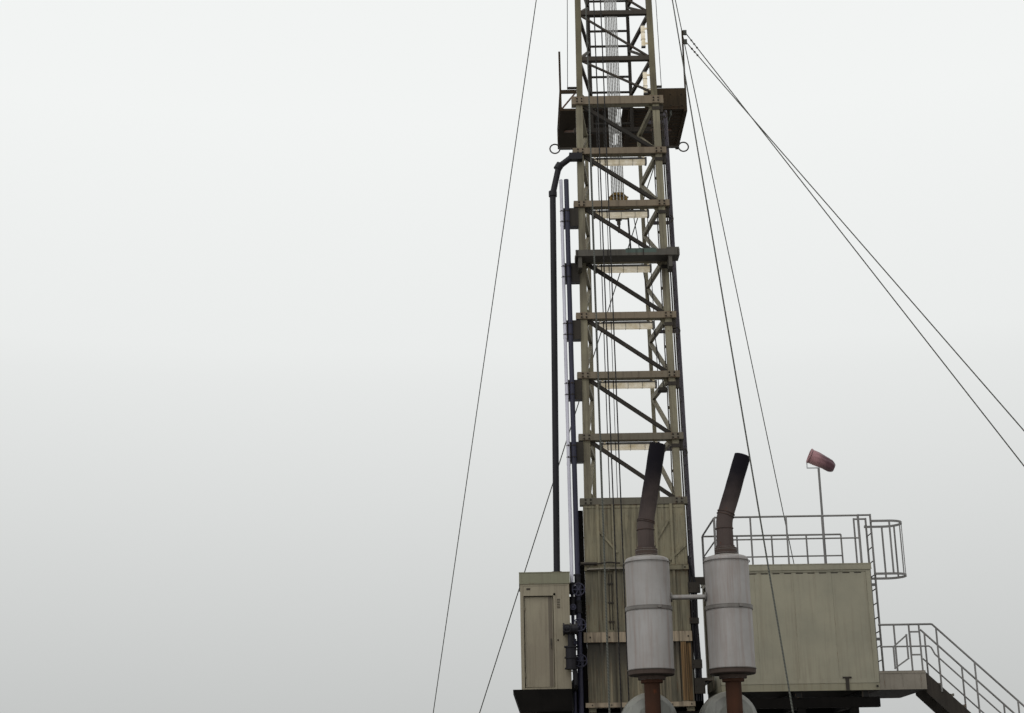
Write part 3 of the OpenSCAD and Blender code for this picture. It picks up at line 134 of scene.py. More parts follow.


# %% [markdown]
# ## Weathered paint on steel
#
# Nearly all of the rig is hot-rolled steel under brushed alkyd enamel, years old. Sun has chalked the
# enamel unevenly, rain has drawn grease and rust down in streaks, dust lies on what faces up, and the
# paint has gone from the edges, where chains and tools rub. The recipe layers these in turn: enamel,
# chalking, streaks, dust, painted shade on what faces down, then rust and soot. A Bevel node tells edges
# from flats. The painted shade's mask also lowers the gloss of the undersides. Enamel has an IOR near
# 1.5, and each coat states its own roughness, which rises to 0.92 where it rusts. Mud and soot lie so
# dull over the darkest coats that little of the sky shows in them, so their gloss is lower.


# %% Recipe for weathered steel
def weathered_steel(
    name,
    paint,
    chalked,
    streak,
    rust="#5a3a26",
    streaks=0.5,
    rusted=0.25,
    edge_mm=14,
    roughness=0.62,
    dust=0.35,
    metallic=0.0,
    gloss=0.5,
    run_from=0.5,
    under=0.7,
    soot=None,
    details=None,
):
    made, tree, shader, place = new_material(name)
    broad = add(tree, "TexNoise", {"Vector": place, "Scale": scale_of(900), "Detail": 5.0, "Roughness": 0.6})
    chalk = add(tree, "MapRange", {"Value": broad.outputs["Fac"], "From Min": 0.35, "From Max": 0.65})
    enamel = add(
        tree,
        "Mix",
        {"Factor": chalk.outputs["Result"], "A": linear(paint), "B": linear(chalked)},
        data_type="RGBA",
    ).outputs["Result"]
    if details:
        enamel = details(tree, place, enamel)
    drawn = add(tree, "Mapping", {"Vector": place, "Scale": (scale_of(90), scale_of(90), scale_of(1600))})
    run = add(
        tree,
        "TexNoise",
        {"Vector": drawn.outputs["Vector"], "Scale": 1.0, "Detail": 6.0, "Roughness": 0.65},
    )
    run_mask = add(
        tree,
        "MapRange",
        {"Value": run.outputs["Fac"], "From Min": run_from, "From Max": run_from + 0.28, "To Max": streaks},
    )
    streaked = add(
        tree,
        "Mix",
        {"Factor": run_mask.outputs["Result"], "A": enamel, "B": linear(streak)},
        data_type="RGBA",
    )
    facing = add(tree, "SeparateXYZ", {"Vector": add(tree, "NewGeometry").outputs["Normal"]})
    dusted = add(
        tree,
        "MapRange",
        {"Value": facing.outputs["Z"], "From Min": 0.5, "From Max": 1.0, "To Max": dust},
    )
    dusty = add(
        tree,
        "Mix",
        {"Factor": dusted.outputs["Result"], "A": streaked.outputs["Result"], "B": linear("#8f8674")},
        data_type="RGBA",
    )
    # Painted shade: faces that point down are mixed toward near-black #1c1916, and their gloss is lowered.
    underside_shade_mask = add(
        tree,
        "MapRange",
        {"Value": facing.outputs["Z"], "From Min": -0.3, "From Max": -0.8, "To Max": under},
    )
    shaded = add(
        tree,
        "Mix",
        {"Factor": underside_shade_mask.outputs["Result"], "A": dusty.outputs["Result"], "B": linear("#1c1916")},
        data_type="RGBA",
    )
    rounded = add(tree, "Bevel", {"Radius": edge_mm / 1000}, samples=3)
    sharp = add(
        tree,
        "VectorMath",
        {0: rounded.outputs["Normal"], 1: add(tree, "NewGeometry").outputs["True Normal"]},
        operation="DOT_PRODUCT",
    )
    edge = add(
        tree,
        "MapRange",
        {"Value": sharp.outputs["Value"], "From Min": 0.995, "From Max": 0.9, "To Max": 0.16},
    )
    flakes = add(
        tree,
        "TexNoise",
        {"Vector": place, "Scale": scale_of(160), "Detail": 9.0, "Roughness": 0.68},
    )
    bare = add(tree, "Math", {0: flakes.outputs["Fac"], 1: edge.outputs["Result"]}, operation="ADD")
    rust_mask = add(
        tree,
        "MapRange",
        {"Value": bare.outputs["Value"], "From Min": 0.74 - 0.2 * rusted, "From Max": 0.8 - 0.14 * rusted},
    )
    colour = add(
        tree,
        "Mix",
        {"Factor": rust_mask.outputs["Result"], "A": shaded.outputs["Result"], "B": linear(rust)},
        data_type="RGBA",
    )
    final = colour.outputs["Result"]
    if soot:
        soot_hex, soot_from, soot_to, soot_share = soot
        height = add(tree, "SeparateXYZ", {"Vector": place})
        ragged = add(
            tree,
            "Math",
            {0: broad.outputs["Fac"], 1: 1.2, 2: height.outputs["Z"]},
            operation="MULTIPLY_ADD",
        )
        sooty = add(
            tree,
            "MapRange",
            {
                "Value": ragged.outputs["Value"],
                "From Min": soot_from + 0.6,
                "From Max": soot_to + 0.6,
                "To Max": soot_share,
            },
            interpolation_type="SMOOTHSTEP",
        )
        final = add(
            tree,
            "Mix",
            {"Factor": sooty.outputs["Result"], "A": final, "B": linear(soot_hex)},
            data_type="RGBA",
        ).outputs["Result"]
    tree.links.new(final, shader.inputs["Base Color"])
    worn = add(
        tree,
        "MapRange",
        {
            "Value": rust_mask.outputs["Result"],
            "To Min": roughness,
            "To Max": 0.92,
        },
    )
    tree.links.new(worn.outputs["Result"], shader.inputs["Roughness"])
    shader.inputs["Metallic"].default_value = metallic
    shader.inputs["IOR"].default_value = 1.5
    matt = add(tree, "MapRange", {"Value": underside_shade_mask.outputs["Result"], "To Min": gloss, "To Max": gloss * 0.05})
    tree.links.new(matt.outputs["Result"], shader.inputs["Specular IOR Level"])
    grain = add(tree, "TexNoise", {"Vector": place, "Scale": scale_of(12), "Detail": 3.0})
    relief = add(
        tree,
        "Math",
        {0: rust_mask.outputs["Result"], 1: 0.8, 2: grain.outputs["Fac"]},
        operation="MULTIPLY_ADD",
    )
    bump = add(tree, "Bump", {"Height": relief.outputs["Value"], "Strength": 0.35, "Distance": 0.004})
    tree.links.new(bump.outputs["Normal"], shader.inputs["Normal"])
    return made


# %% [markdown]
# Each finish below is one coat on one kind of part. The names say what the real surface is, and which coat
# also paints in shade. The mast has a beige enamel that grease has browned, the doghouse a cleaner olive
# beige, the locker a browner one, and the rails a thin grey primer. The racking board looks nearly black,
# from mud and pipe grease. The substructure is nearly black: painted shade under the floor, over mud and
# grease.

# %% Painted steel
LEGS_FRONT = -1.035


def girt_browning(tree, place, enamel):
    """Browner enamel on the girts, which stand proud of the legs, and greyer grease on the lowest of them."""
    parts = add(tree, "SeparateXYZ", {"Vector": place})
    proud = add(tree, "Math", {0: LEGS_FRONT, 1: parts.outputs["Y"]}, operation="GREATER_THAN")
    tint = add(tree, "Math", {0: proud.outputs["Value"], 1: 0.8}, operation="MULTIPLY")
    low = add(tree, "MapRange", {"Value": parts.outputs["Z"], "From Min": 12.3, "From Max": 8.6})
    grease = add(
        tree,
        "Mix",
        {"Factor": low.outputs["Result"], "A": linear("#6d5f4e"), "B": linear("#4a463d")},
        data_type="RGBA",
    )
    return add(
        tree,
        "Mix",
        {"Factor": tint.outputs["Value"], "A": enamel, "B": grease.outputs["Result"]},
        data_type="RGBA",
    ).outputs["Result"]


def bracing_grease(tree, place, enamel):
    """Dark grease on the girts and diagonals between the upper legs, where the wet pipe is pulled past."""
    parts = add(tree, "SeparateXYZ", {"Vector": place})
    side = add(tree, "Math", {0: parts.outputs["X"], 1: WELL.x}, operation="SUBTRACT")
    away = add(tree, "Math", {0: side.outputs["Value"]}, operation="ABSOLUTE")
    legs = add(tree, "Math", {0: parts.outputs["Z"], 1: -0.00985, 2: 0.88 + 17.897 * 0.00985 - 0.074},
               operation="MULTIPLY_ADD")
    between = add(
        tree,
        "Math",
        {0: legs.outputs["Value"], 1: away.outputs["Value"]},
        operation="GREATER_THAN",
    )
    tint = add(tree, "Math", {0: between.outputs["Value"], 1: 0.9}, operation="MULTIPLY")
    return add(
        tree, "Mix", {"Factor": tint.outputs["Value"], "A": enamel, "B": linear("#332d28")}, data_type="RGBA"
    ).outputs["Result"]


WALL_FOOT, WALL_RISE = 3.8, 4.4
# Heights and shares of the wall's darkening, which is grime and painted shade, darkest just under each beam.
WALL_GRIME_AND_SHADE = [
    (3.85, 0.44), (4.45, 0.58), (5.10, 0.90), (5.17, 0.90),
    (5.42, 0.22), (6.2, 0.34), (6.68, 0.42), (6.85, 0.06),
]


def wall_grime_and_shade(tree, place, enamel):
    """Grime and painted shade, darkest right under each beam, pale runs at the foot, and paler enamel on two
    beams.
    """
    parts = add(tree, "SeparateXYZ", {"Vector": place})
    rise = add(
        tree,
        "MapRange",
        {"Value": parts.outputs["Z"], "From Min": WALL_FOOT, "From Max": WALL_FOOT + WALL_RISE},
    )
    depth = add(tree, "ValToRGB", {"Fac": rise.outputs["Result"]})
    ramp = depth.color_ramp
    while len(ramp.elements) < len(WALL_GRIME_AND_SHADE):
        ramp.elements.new(0.5)
    for stop, (height, share) in zip(ramp.elements, WALL_GRIME_AND_SHADE):
        stop.position = (height - WALL_FOOT) / WALL_RISE
        stop.color = (share, share, share, 1)
    # Grime and painted shade: the wall is mixed toward #1d1914 by the height ramp.
    grimed_and_shaded = add(
        tree, "Mix", {"Factor": depth.outputs["Color"], "A": enamel, "B": linear("#1d1914")}, data_type="RGBA"
    ).outputs["Result"]
    drawn = add(tree, "Mapping", {"Vector": place, "Scale": (scale_of(110), scale_of(110), scale_of(4000))})
    runs = add(tree, "TexNoise", {"Vector": drawn.outputs["Vector"], "Scale": 1.0, "Detail": 3.0})
    pale = add(tree, "MapRange", {"Value": runs.outputs["Fac"], "From Min": 0.5, "From Max": 0.62})
    low = add(
        tree,
        "MapRange",
        {"Value": parts.outputs["Z"], "From Min": 5.0, "From Max": 4.4, "To Max": 0.75},
    )
    washed = add(tree, "Math", {0: pale.outputs["Result"], 1: low.outputs["Result"]}, operation="MULTIPLY")
    streaked = add(
        tree, "Mix", {"Factor": washed.outputs["Value"], "A": grimed_and_shaded, "B": linear("#857a63")}, data_type="RGBA"
    ).outputs["Result"]
    middle = add(tree, "Math", {0: parts.outputs["Z"], 1: 5.285, 2: 0.106}, operation="COMPARE")
    foot = add(tree, "Math", {0: parts.outputs["Z"], 1: 3.89, 2: 0.056}, operation="COMPARE")
    near = add(tree, "Math", {0: middle.outputs["Value"], 1: foot.outputs["Value"]}, operation="MAXIMUM")
    proud = add(tree, "Math", {0: -1.11, 1: parts.outputs["Y"]}, operation="GREATER_THAN")
    tint = add(tree, "Math", {0: near.outputs["Value"], 1: proud.outputs["Value"]}, operation="MULTIPLY")
    return add(
        tree,
        "Mix",
        {"Factor": tint.outputs["Value"], "A": streaked, "B": linear("#8a7c68")},
        data_type="RGBA",
    ).outputs["Result"]


def locker_shades(tree, place, enamel):
    """Greener enamel on the locker's cap, and painted shade down the door's recessed gutter, as a brown band.
    """
    parts = add(tree, "SeparateXYZ", {"Vector": place})
    cap = add(tree, "Math", {0: parts.outputs["Z"], 1: 6.5, 2: 0.13}, operation="COMPARE")
    there = add(tree, "Math", {0: parts.outputs["X"], 1: WELL.x - 1.2}, operation="LESS_THAN")
    on_cap = add(tree, "Math", {0: cap.outputs["Value"], 1: there.outputs["Value"]}, operation="MULTIPLY")
    green = add(
        tree,
        "Mix",
        {"Factor": on_cap.outputs["Value"], "A": enamel, "B": linear("#6a6853")},
        data_type="RGBA",
    ).outputs["Result"]
    # Painted shade: a brown band down the door's recessed gutter.
    gutter = add(tree, "Math", {0: parts.outputs["X"], 1: WELL.x - 1.868, 2: 0.040}, operation="COMPARE")
    tall = add(tree, "Math", {0: parts.outputs["Z"], 1: 5.19, 2: 0.93}, operation="COMPARE")
    band = add(tree, "Math", {0: gutter.outputs["Value"], 1: tall.outputs["Value"]}, operation="MULTIPLY")
    shade = add(tree, "Math", {0: band.outputs["Value"], 1: 0.75}, operation="MULTIPLY")
    return add(
        tree, "Mix", {"Factor": shade.outputs["Value"], "A": green, "B": linear("#41372b")}, data_type="RGBA"
    ).outputs["Result"]


def rust_runs(tree, place, enamel):
    """Narrow upright runs, some pale and some nearly black, about 25 mm wide."""
    drawn = add(tree, "Mapping", {"Vector": place, "Scale": (scale_of(25), scale_of(25), scale_of(1300))})
    runs = add(tree, "TexNoise", {"Vector": drawn.outputs["Vector"], "Scale": 1.0, "Detail": 4.0})
    pale = add(
        tree,
        "MapRange",
        {"Value": runs.outputs["Fac"], "From Min": 0.52, "From Max": 0.66, "To Max": 0.7},
    )
    dark = add(
        tree,
        "MapRange",
        {"Value": runs.outputs["Fac"], "From Min": 0.48, "From Max": 0.36, "To Max": 0.8},
    )
    light = add(
        tree, "Mix", {"Factor": pale.outputs["Result"], "A": enamel, "B": linear("#8a6d4a")}, data_type="RGBA"
    ).outputs["Result"]
    return add(
        tree, "Mix", {"Factor": dark.outputs["Result"], "A": light, "B": linear("#2a2017")}, data_type="RGBA"
    ).outputs["Result"]


def painted_underside_shade(tree, place, enamel):
    """Painted shade: near black on everything below the doghouse floor's lower edge, which stays in the
    cabin's enamel.
    """
    parts = add(tree, "SeparateXYZ", {"Vector": place})
    below = add(tree, "Math", {0: parts.outputs["Z"], 1: 4.084}, operation="LESS_THAN")
    return add(
        tree, "Mix", {"Factor": below.outputs["Value"], "A": enamel, "B": linear("#0d0c0b")}, data_type="RGBA"
    ).outputs["Result"]


def green_box(tree, place, enamel):
    """Green enamel on the tool box that is bolted to the belly platform."""
    parts = add(tree, "SeparateXYZ", {"Vector": place})
    above = add(tree, "Math", {0: parts.outputs["Z"], 1: 13.90, 2: 0.12}, operation="COMPARE")
    across = add(tree, "Math", {0: parts.outputs["X"], 1: WELL.x + 0.36, 2: 0.345}, operation="COMPARE")
    box = add(tree, "Math", {0: above.outputs["Value"], 1: across.outputs["Value"]}, operation="MULTIPLY")
    tint = add(tree, "Math", {0: box.outputs["Value"], 1: 0.85}, operation="MULTIPLY")
    return add(
        tree, "Mix", {"Factor": tint.outputs["Value"], "A": enamel, "B": linear("#46544d")}, data_type="RGBA"
    ).outputs["Result"]


mast_enamel = weathered_steel(
    "beige_alkyd_enamel_on_mast", "#635d4d", "#7a745f", "#33291f", streaks=0.8, rusted=0.42,
    roughness=0.66, gloss=0.3, under=0.45, details=girt_browning,
)
upper_enamel = weathered_steel(
    "olive_alkyd_enamel_on_upper_mast", "#575140", "#6b644e", "#2c241c", streaks=0.8, rusted=0.42,
    roughness=0.7, gloss=0.25, details=bracing_grease,
)
greased_steel = weathered_steel(
    "greased_hot_rolled_steel", "#292622", "#35302a", "#14110f", rust="#3d2a20", streaks=0.7,
    rusted=0.3, roughness=0.6, dust=0.25, gloss=0.12,
)
# Painted shade: the substructure's near-black colour stands for the shade under the floor as well as its mud
# and grease.
near_black_shaded_steel = weathered_steel(
    "near_black_substructure_steel_with_painted_shade", "#0e0d0c", "#161412", "#080807", rust="#211813", streaks=0.6,
    rusted=0.2, roughness=0.8, dust=0.08, gloss=0.04,
)
platform_primer = weathered_steel(
    "grey_green_primer_on_platform", "#48453f", "#56524a", "#201e1a", rust="#4b352a", streaks=0.6,
    rusted=0.25, roughness=0.65, dust=0.2, gloss=0.15, under=0.6, details=green_box,
)
ladder_primer = weathered_steel(
    "purple_grey_primer_on_ladder", "#464248", "#534e53", "#27242a", rust="#4a3530", streaks=0.5,
    rusted=0.2, edge_mm=6, roughness=0.6, dust=0.15, gloss=0.2,
)
board_steel = weathered_steel(
    "oil_soaked_deck_steel", "#2e271d", "#3e3325", "#191511", rust="#46291c", streaks=0.6, rusted=0.45,
    roughness=0.75, dust=0.15, gloss=0.1,
)
cabin_enamel = weathered_steel(
    "olive_beige_enamel_on_plate", "#757160", "#817c69", "#5a4d3a", rust="#5e4630", streaks=0.42,
    rusted=0.1, roughness=0.58,
)
cabin_floor_enamel = weathered_steel(
    "olive_beige_enamel_on_floor_edge", "#736f5e", "#7f7a67", "#5a4d3a", rust="#5e4630", streaks=0.42,
    rusted=0.1, roughness=0.75, under=1.0, gloss=0.2, details=painted_underside_shade,
)
locker_enamel = weathered_steel(
    "brown_beige_enamel_on_plate", "#736a58", "#7f7763", "#4a3d2c", rust="#59402b", streaks=0.5,
    rusted=0.18, roughness=0.6, details=locker_shades,
)
wall_enamel = weathered_steel(
    "grease_stained_and_shaded_enamel_on_panels", "#6b6654", "#7f775f", "#241e16", rust="#5b3c25", streaks=0.9,
    rusted=0.4, roughness=0.66, gloss=0.3, run_from=0.45, details=wall_grime_and_shade,
)
bracket_zinc = weathered_steel(
    "dull_zinc_on_bracket", "#9b9d9d", "#a9abab", "#6f6d6a", rust="#6b5140", streaks=0.3, rusted=0.15,
    edge_mm=4, roughness=0.5, dust=0.1,
)
rail_primer = weathered_steel(
    "grey_primer_on_tube", "#605e5c", "#72706d", "#3f3a35", rust="#5c4336", streaks=0.4, rusted=0.25,
    edge_mm=6, roughness=0.55, dust=0.15, gloss=0.35,
)
engine_enamel = weathered_steel(
    "grey_engine_enamel", "#6a6a63", "#787870", "#2b2723", streaks=0.6, rusted=0.2, roughness=0.5,
)
pipe_black = weathered_steel(
    "black_bitumen_on_pipe", "#121114", "#1c1a1f", "#0b0a0c", rust="#2b2019", streaks=0.5, rusted=0.12,
    roughness=0.5, dust=0.1, gloss=0.2,
)
pipe_navy = weathered_steel(
    "navy_enamel_on_pipe", "#21212f", "#2b2a3b", "#131217", rust="#33261f", streaks=0.6, rusted=0.15,
    roughness=0.5, dust=0.1, gloss=0.3,
)
pipe_lilac = weathered_steel(
    "lilac_grey_primer_on_pipe", "#b0aeb7", "#c1bfc7", "#6b6870", rust="#6f5a54", streaks=0.6,
    rusted=0.12, edge_mm=6, roughness=0.6, dust=0.1,
)
hoist_yellow = weathered_steel(
    "yellow_enamel_on_block", "#94701f", "#7b6022", "#33271a", rust="#4a3018", streaks=0.85,
    rusted=0.35, roughness=0.55, gloss=0.3, run_from=0.44,
)
bare_sheave = weathered_steel(
    "greased_cast_steel", "#38332c", "#453f37", "#1b1814", streaks=0.5, rusted=0.4, roughness=0.55,
    metallic=0.2, gloss=0.3,
)
deck_steel = weathered_steel(
    "scuffed_chequer_plate", "#4b463c", "#5f594c", "#2a251e", streaks=0.3, rusted=0.5, roughness=0.6,
    dust=0.5,
)
silencer_skin = weathered_steel(
    "aluminium_paint_on_silencer", "#8d8a87", "#7f7b77", "#6d574b", rust="#735346", streaks=0.6,
    rusted=0.3, roughness=0.52, dust=0.2, metallic=0.1, run_from=0.46,
)
silencer_band_steel = weathered_steel(
    "zinc_sprayed_band", "#5a5652", "#66625d", "#433932", rust="#584036", streaks=0.5, rusted=0.35,
    edge_mm=5, roughness=0.5, metallic=0.2,
)
landing_enamel = weathered_steel(
    "pinkish_beige_enamel_on_channel", "#6a6459", "#777065", "#4a3f33", rust="#5b4030", streaks=0.45,
    rusted=0.2, roughness=0.65, under=1.0, gloss=0.3,
)
mud_red_steel = weathered_steel(
    "red_brown_mud_on_angle", "#4a352a", "#5a4132", "#211713", rust="#6a3f2c", streaks=0.6, rusted=0.5,
    roughness=0.75,
)
riser_steel = weathered_steel(
    "fire_scaled_steel", "#33241c", "#40291e", "#1d1410", rust="#4d2d1e", streaks=0.5, rusted=0.7,
    roughness=0.9, gloss=0.1,
)
rust_orange = weathered_steel(
    "rust_over_orange_primer", "#5c4932", "#6a5439", "#2c2218", rust="#70482a", streaks=0.7, rusted=0.4,
    roughness=0.85, gloss=0.15, run_from=0.46, details=rust_runs,
)
collar_steel = weathered_steel(
    "heat_browned_collar_steel", "#3b322d", "#473c36", "#262019", rust="#463026", streaks=0.5,
    rusted=0.4, edge_mm=6, roughness=0.8, dust=0.1, gloss=0.15,
)
outlet_low, outlet_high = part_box("silencer_outlets")
outlet_steel = weathered_steel(
    "sooted_exhaust_steel", "#4b423e", "#443b38", "#2b2421", rust="#50392f", streaks=0.6, rusted=0.5,
    roughness=0.85, dust=0.1, gloss=0.1,
    soot=("#121015", outlet_low.z + 0.45, outlet_high.z - 0.45, 1.0),
)
print(len(bpy.data.materials), "materials so far")



# %% [markdown]
# ## Finishes that aren't weathered paint
#
# A few surfaces have their own recipe. Wire rope is galvanised strands laid in a helix, so its colour
# comes in slanting bands. A lamp cover is opal acrylic, which glows a little. The windsock is nylon cloth
# that sun has bleached at its mouth, and its hem is sewn with dark waxed thread.


# %% Wire rope, opal acrylic, nylon and thread
def wire_rope(name, strand, groove, lay_mm, metallic, gloss):
    """Galvanised rope whose strands cross it at a slant, one every lay_mm along it."""
    made, tree, shader, place = new_material(name)
    parts = add(tree, "SeparateXYZ", {"Vector": place})
    across = add(tree, "Math", {0: parts.outputs["X"], 1: parts.outputs["Y"]}, operation="ADD")
    slant = add(
        tree,
        "Math",
        {0: across.outputs["Value"], 1: 2.0, 2: parts.outputs["Z"]},
        operation="MULTIPLY_ADD",
    )
    turns = add(
        tree,
        "Math",
        {0: slant.outputs["Value"], 1: 2 * math.pi * scale_of(lay_mm)},
        operation="MULTIPLY",
    )
    wave = add(tree, "Math", {0: turns.outputs["Value"]}, operation="SINE")
    band = add(tree, "MapRange", {"Value": wave.outputs["Value"], "From Min": -1.0, "From Max": 1.0})
    colour = add(
        tree,
        "Mix",
        {"Factor": band.outputs["Result"], "A": linear(groove), "B": linear(strand)},
        data_type="RGBA",
    )
    tree.links.new(colour.outputs["Result"], shader.inputs["Base Color"])
    bump = add(tree, "Bump", {"Height": band.outputs["Result"], "Strength": 0.6, "Distance": 0.004})
    tree.links.new(bump.outputs["Normal"], shader.inputs["Normal"])
    shader.inputs["Metallic"].default_value = metallic
    shader.inputs["Roughness"].default_value = 0.5
    shader.inputs["Specular IOR Level"].default_value = gloss
    return made


guy_rope = wire_rope("weathered_guy_rope", "#46473f", "#24251f", 90, 0.1, 0.25)
drill_rope = wire_rope("bright_drilling_rope", "#b5b4b0", "#7f7d79", 110, 0.0, 0.4)
black_rope = wire_rope("tarred_working_rope", "#2a2725", "#121110", 110, 0.0, 0.15)

lamp_acrylic, lamp_tree, lamp_shader, lamp_place = new_material("opal_acrylic_lamp_cover")
lamp_dirt = add(lamp_tree, "TexNoise", {"Vector": lamp_place, "Scale": scale_of(140), "Detail": 4.0})
lamp_mask = add(lamp_tree, "MapRange", {"Value": lamp_dirt.outputs["Fac"], "From Min": 0.35, "From Max": 0.7})
lamp_colour = add(
    lamp_tree,
    "Mix",
    {"Factor": lamp_mask.outputs["Result"], "A": linear("#d3cab7"), "B": linear("#b5a789")},
    data_type="RGBA",
)
lamp_tree.links.new(lamp_colour.outputs["Result"], lamp_shader.inputs["Base Color"])
lamp_tree.links.new(lamp_colour.outputs["Result"], lamp_shader.inputs["Emission Color"])
lamp_shader.inputs["Emission Strength"].default_value = 0.34
lamp_shader.inputs["Roughness"].default_value = 0.4

sock_thread, thread_tree, thread_shader, thread_place = new_material("dark_waxed_thread")
thread_mottle = add(thread_tree, "TexNoise", {"Vector": thread_place, "Scale": scale_of(60), "Detail": 5.0})
thread_colour = add(
    thread_tree,
    "Mix",
    {"Factor": thread_mottle.outputs["Fac"], "A": linear("#131214"), "B": linear("#2a2724")},
    data_type="RGBA",
)
thread_tree.links.new(thread_colour.outputs["Result"], thread_shader.inputs["Base Color"])
thread_shader.inputs["Roughness"].default_value = 0.68

sock_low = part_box("windsock")[0]
sock_nylon, sock_tree, sock_shader, sock_place = new_material("sun_bleached_nylon_cloth")
sock_parts = add(sock_tree, "SeparateXYZ", {"Vector": sock_place})
sock_patch = add(sock_tree, "TexNoise", {"Vector": sock_place, "Scale": scale_of(120), "Detail": 4.0})
sock_reach = add(
    sock_tree,
    "Math",
    {0: sock_patch.outputs["Fac"], 1: 0.16, 2: sock_parts.outputs["X"]},
    operation="MULTIPLY_ADD",
)
sock_fade = add(
    sock_tree,
    "MapRange",
    {
        "Value": sock_reach.outputs["Value"],
        "From Min": sock_low.x + 0.22,
        "From Max": sock_low.x + 0.52,
    },
    interpolation_type="SMOOTHSTEP",
)
sock_colour = add(
    sock_tree,
    "Mix",
    {"Factor": sock_fade.outputs["Result"], "A": linear("#916a6c"), "B": linear("#472a30")},
    data_type="RGBA",
)
sock_tree.links.new(sock_colour.outputs["Result"], sock_shader.inputs["Base Color"])
sock_weave = add(sock_tree, "TexWave", {"Vector": sock_place, "Scale": scale_of(9), "Distortion": 0.4})
sock_bump = add(sock_tree, "Bump", {"Height": sock_weave.outputs["Fac"], "Strength": 0.25, "Distance": 0.001})
sock_tree.links.new(sock_bump.outputs["Normal"], sock_shader.inputs["Normal"])
sock_shader.inputs["Roughness"].default_value = 0.85
sock_shader.inputs["Sheen Weight"].default_value = 0.25


# %% [markdown]
# ## A coat for every construction node
#
# The construction's own shapes stay, and only get their finish. The table below says which parts share a
# coat.

# %% Coats for the construction
COATS = {
    mast_enamel: "mast_near_face mast_left_side mast_right_side mast_far_legs",
    upper_enamel: "upper_near_face upper_left_side upper_right_side crown_frame",
    platform_primer: "belly_platform",
    ladder_primer: "mast_ladder",
    greased_steel: "base_beams mast_diagonals mast_arms upper_far_frame ground_anchors "
    "engine_skid stair_stringers",
    near_black_shaded_steel: "near_frame middle_frame far_frame doghouse_stand stand_posts floor_joists locker_platform",
    cabin_floor_enamel: "doghouse_floor",
    board_steel: "racking_board board_wind_wall",
    cabin_enamel: "doghouse_long_walls doghouse_end_walls doghouse_roof",
    landing_enamel: "landing",
    locker_enamel: "locker_shell locker_door",
    wall_enamel: "wind_walls",
    rail_primer: "floor_rails roof_rails roof_ladder landing_rails stair_rails windsock_pole",
    bracket_zinc: "windsock_hoop",
    engine_enamel: "engines drawworks exhaust_drums",
    pipe_black: "standpipe",
    pipe_navy: "mud_pipe",
    hoist_yellow: "travelling_block",
    bare_sheave: "crown_sheaves block_hook",
    deck_steel: "rig_floor rotary_table stair_treads",
    silencer_skin: "silencers",
    riser_steel: "exhaust_risers",
    outlet_steel: "silencer_outlets",
    guy_rope: "guy_lines",
    drill_rope: "drill_lines",
    black_rope: "fast_line",
    lamp_acrylic: "light_fixtures",
    sock_nylon: "windsock",
}
for finish, names in COATS.items():
    for name in names.split():
        mesh = nodes[name].data
        mesh.materials.clear()
        mesh.materials.append(finish)
uncoated = sorted(set(nodes) - {name for names in COATS.values() for name in names.split()})
print("nodes without a coat:", uncoated)


# %% [markdown]
# ## Helpers for the fine pieces
#
# What is too fine for the construction is built here as meshes: each piece starts as an empty bmesh, gets
# its plates, bars, tubes and bolts, and is then turned into one object that rides on its body. Places are
# measured from the well centre, and moved to the model's frame at the end.


# %% Helpers for meshes
def at_well(node):
    """The lowest and highest corner of a construction node, measured from the well centre."""
    low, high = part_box(node)
    return low - WELL, high - WELL


def slab(shape, low, high):
    """A rectangular plate or block between two opposite corners, which may come in any order."""
    low, high = Vector(tuple(map(min, low, high))), Vector(tuple(map(max, low, high)))
    for v in bmesh.ops.create_cube(shape, size=1.0)["verts"]:
        v.co = Vector([(low[k] + high[k]) / 2 + v.co[k] * (high[k] - low[k]) for k in range(3)])


def frame_along(way):
    """Two directions across a line, the first of them level."""
    way = Vector(way).normalized()
    level = Vector((0, 0, 1)).cross(way)
    if level.length < 0.01:
        level = Vector((1, 0, 0))
    level.normalize()
    return level, way.cross(level).normalized()


def bar(shape, start, end, width, depth):
    """A flat bar from start to end, as wide as it is level and as deep as it is across that."""
    start, end = Vector(start), Vector(end)
    level, rise = frame_along(end - start)
    rings = []
    for place in (start, end):
        rings.append(
            [
                shape.verts.new(place + level * (i * width / 2) + rise * (j * depth / 2))
                for i, j in ((-1, -1), (1, -1), (1, 1), (-1, 1))
            ]
        )
    for k in range(4):
        shape.faces.new((rings[0][k], rings[0][(k + 1) % 4], rings[1][(k + 1) % 4], rings[1][k]))
    shape.faces.new(rings[0][::-1])
    shape.faces.new(rings[1])


def tube(shape, path, radius, sides=8, ends=True):
    """A round tube along a path of points. The radius may be a list with one value for each point."""
    path = [Vector(p) for p in path]
    radii = radius if isinstance(radius, (list, tuple)) else [radius] * len(path)
    level = frame_along(path[1] - path[0])[0]
    rings = []
    for k, place in enumerate(path):
        way = (path[min(k + 1, len(path) - 1)] - path[max(k - 1, 0)]).normalized()
        level = (level - way * level.dot(way)).normalized()
        rise = way.cross(level)
        rings.append(
            [
                shape.verts.new(
                    place
                    + level * (radii[k] * math.cos(2 * math.pi * s / sides))
                    + rise * (radii[k] * math.sin(2 * math.pi * s / sides))
                )
                for s in range(sides)
            ]
        )
    for a, b in zip(rings, rings[1:]):
        for s in range(sides):
            shape.faces.new((a[s], a[(s + 1) % sides], b[(s + 1) % sides], b[s]))
    if ends:
        shape.faces.new(rings[0][::-1])
        shape.faces.new(rings[-1])
    return rings


def bolt(shape, seat, way, size):
    """A hexagon head standing on its seat, with a washer under it and a chamfer on top."""
    seat, way = Vector(seat), Vector(way).normalized()
    tube(shape, [seat, seat + way * size * 0.14], size * 0.62, 12)
    head = [seat + way * size * h for h in (0.14, 0.55, 0.66)]
    tube(shape, head, [size * 0.5, size * 0.5, size * 0.4], 6)


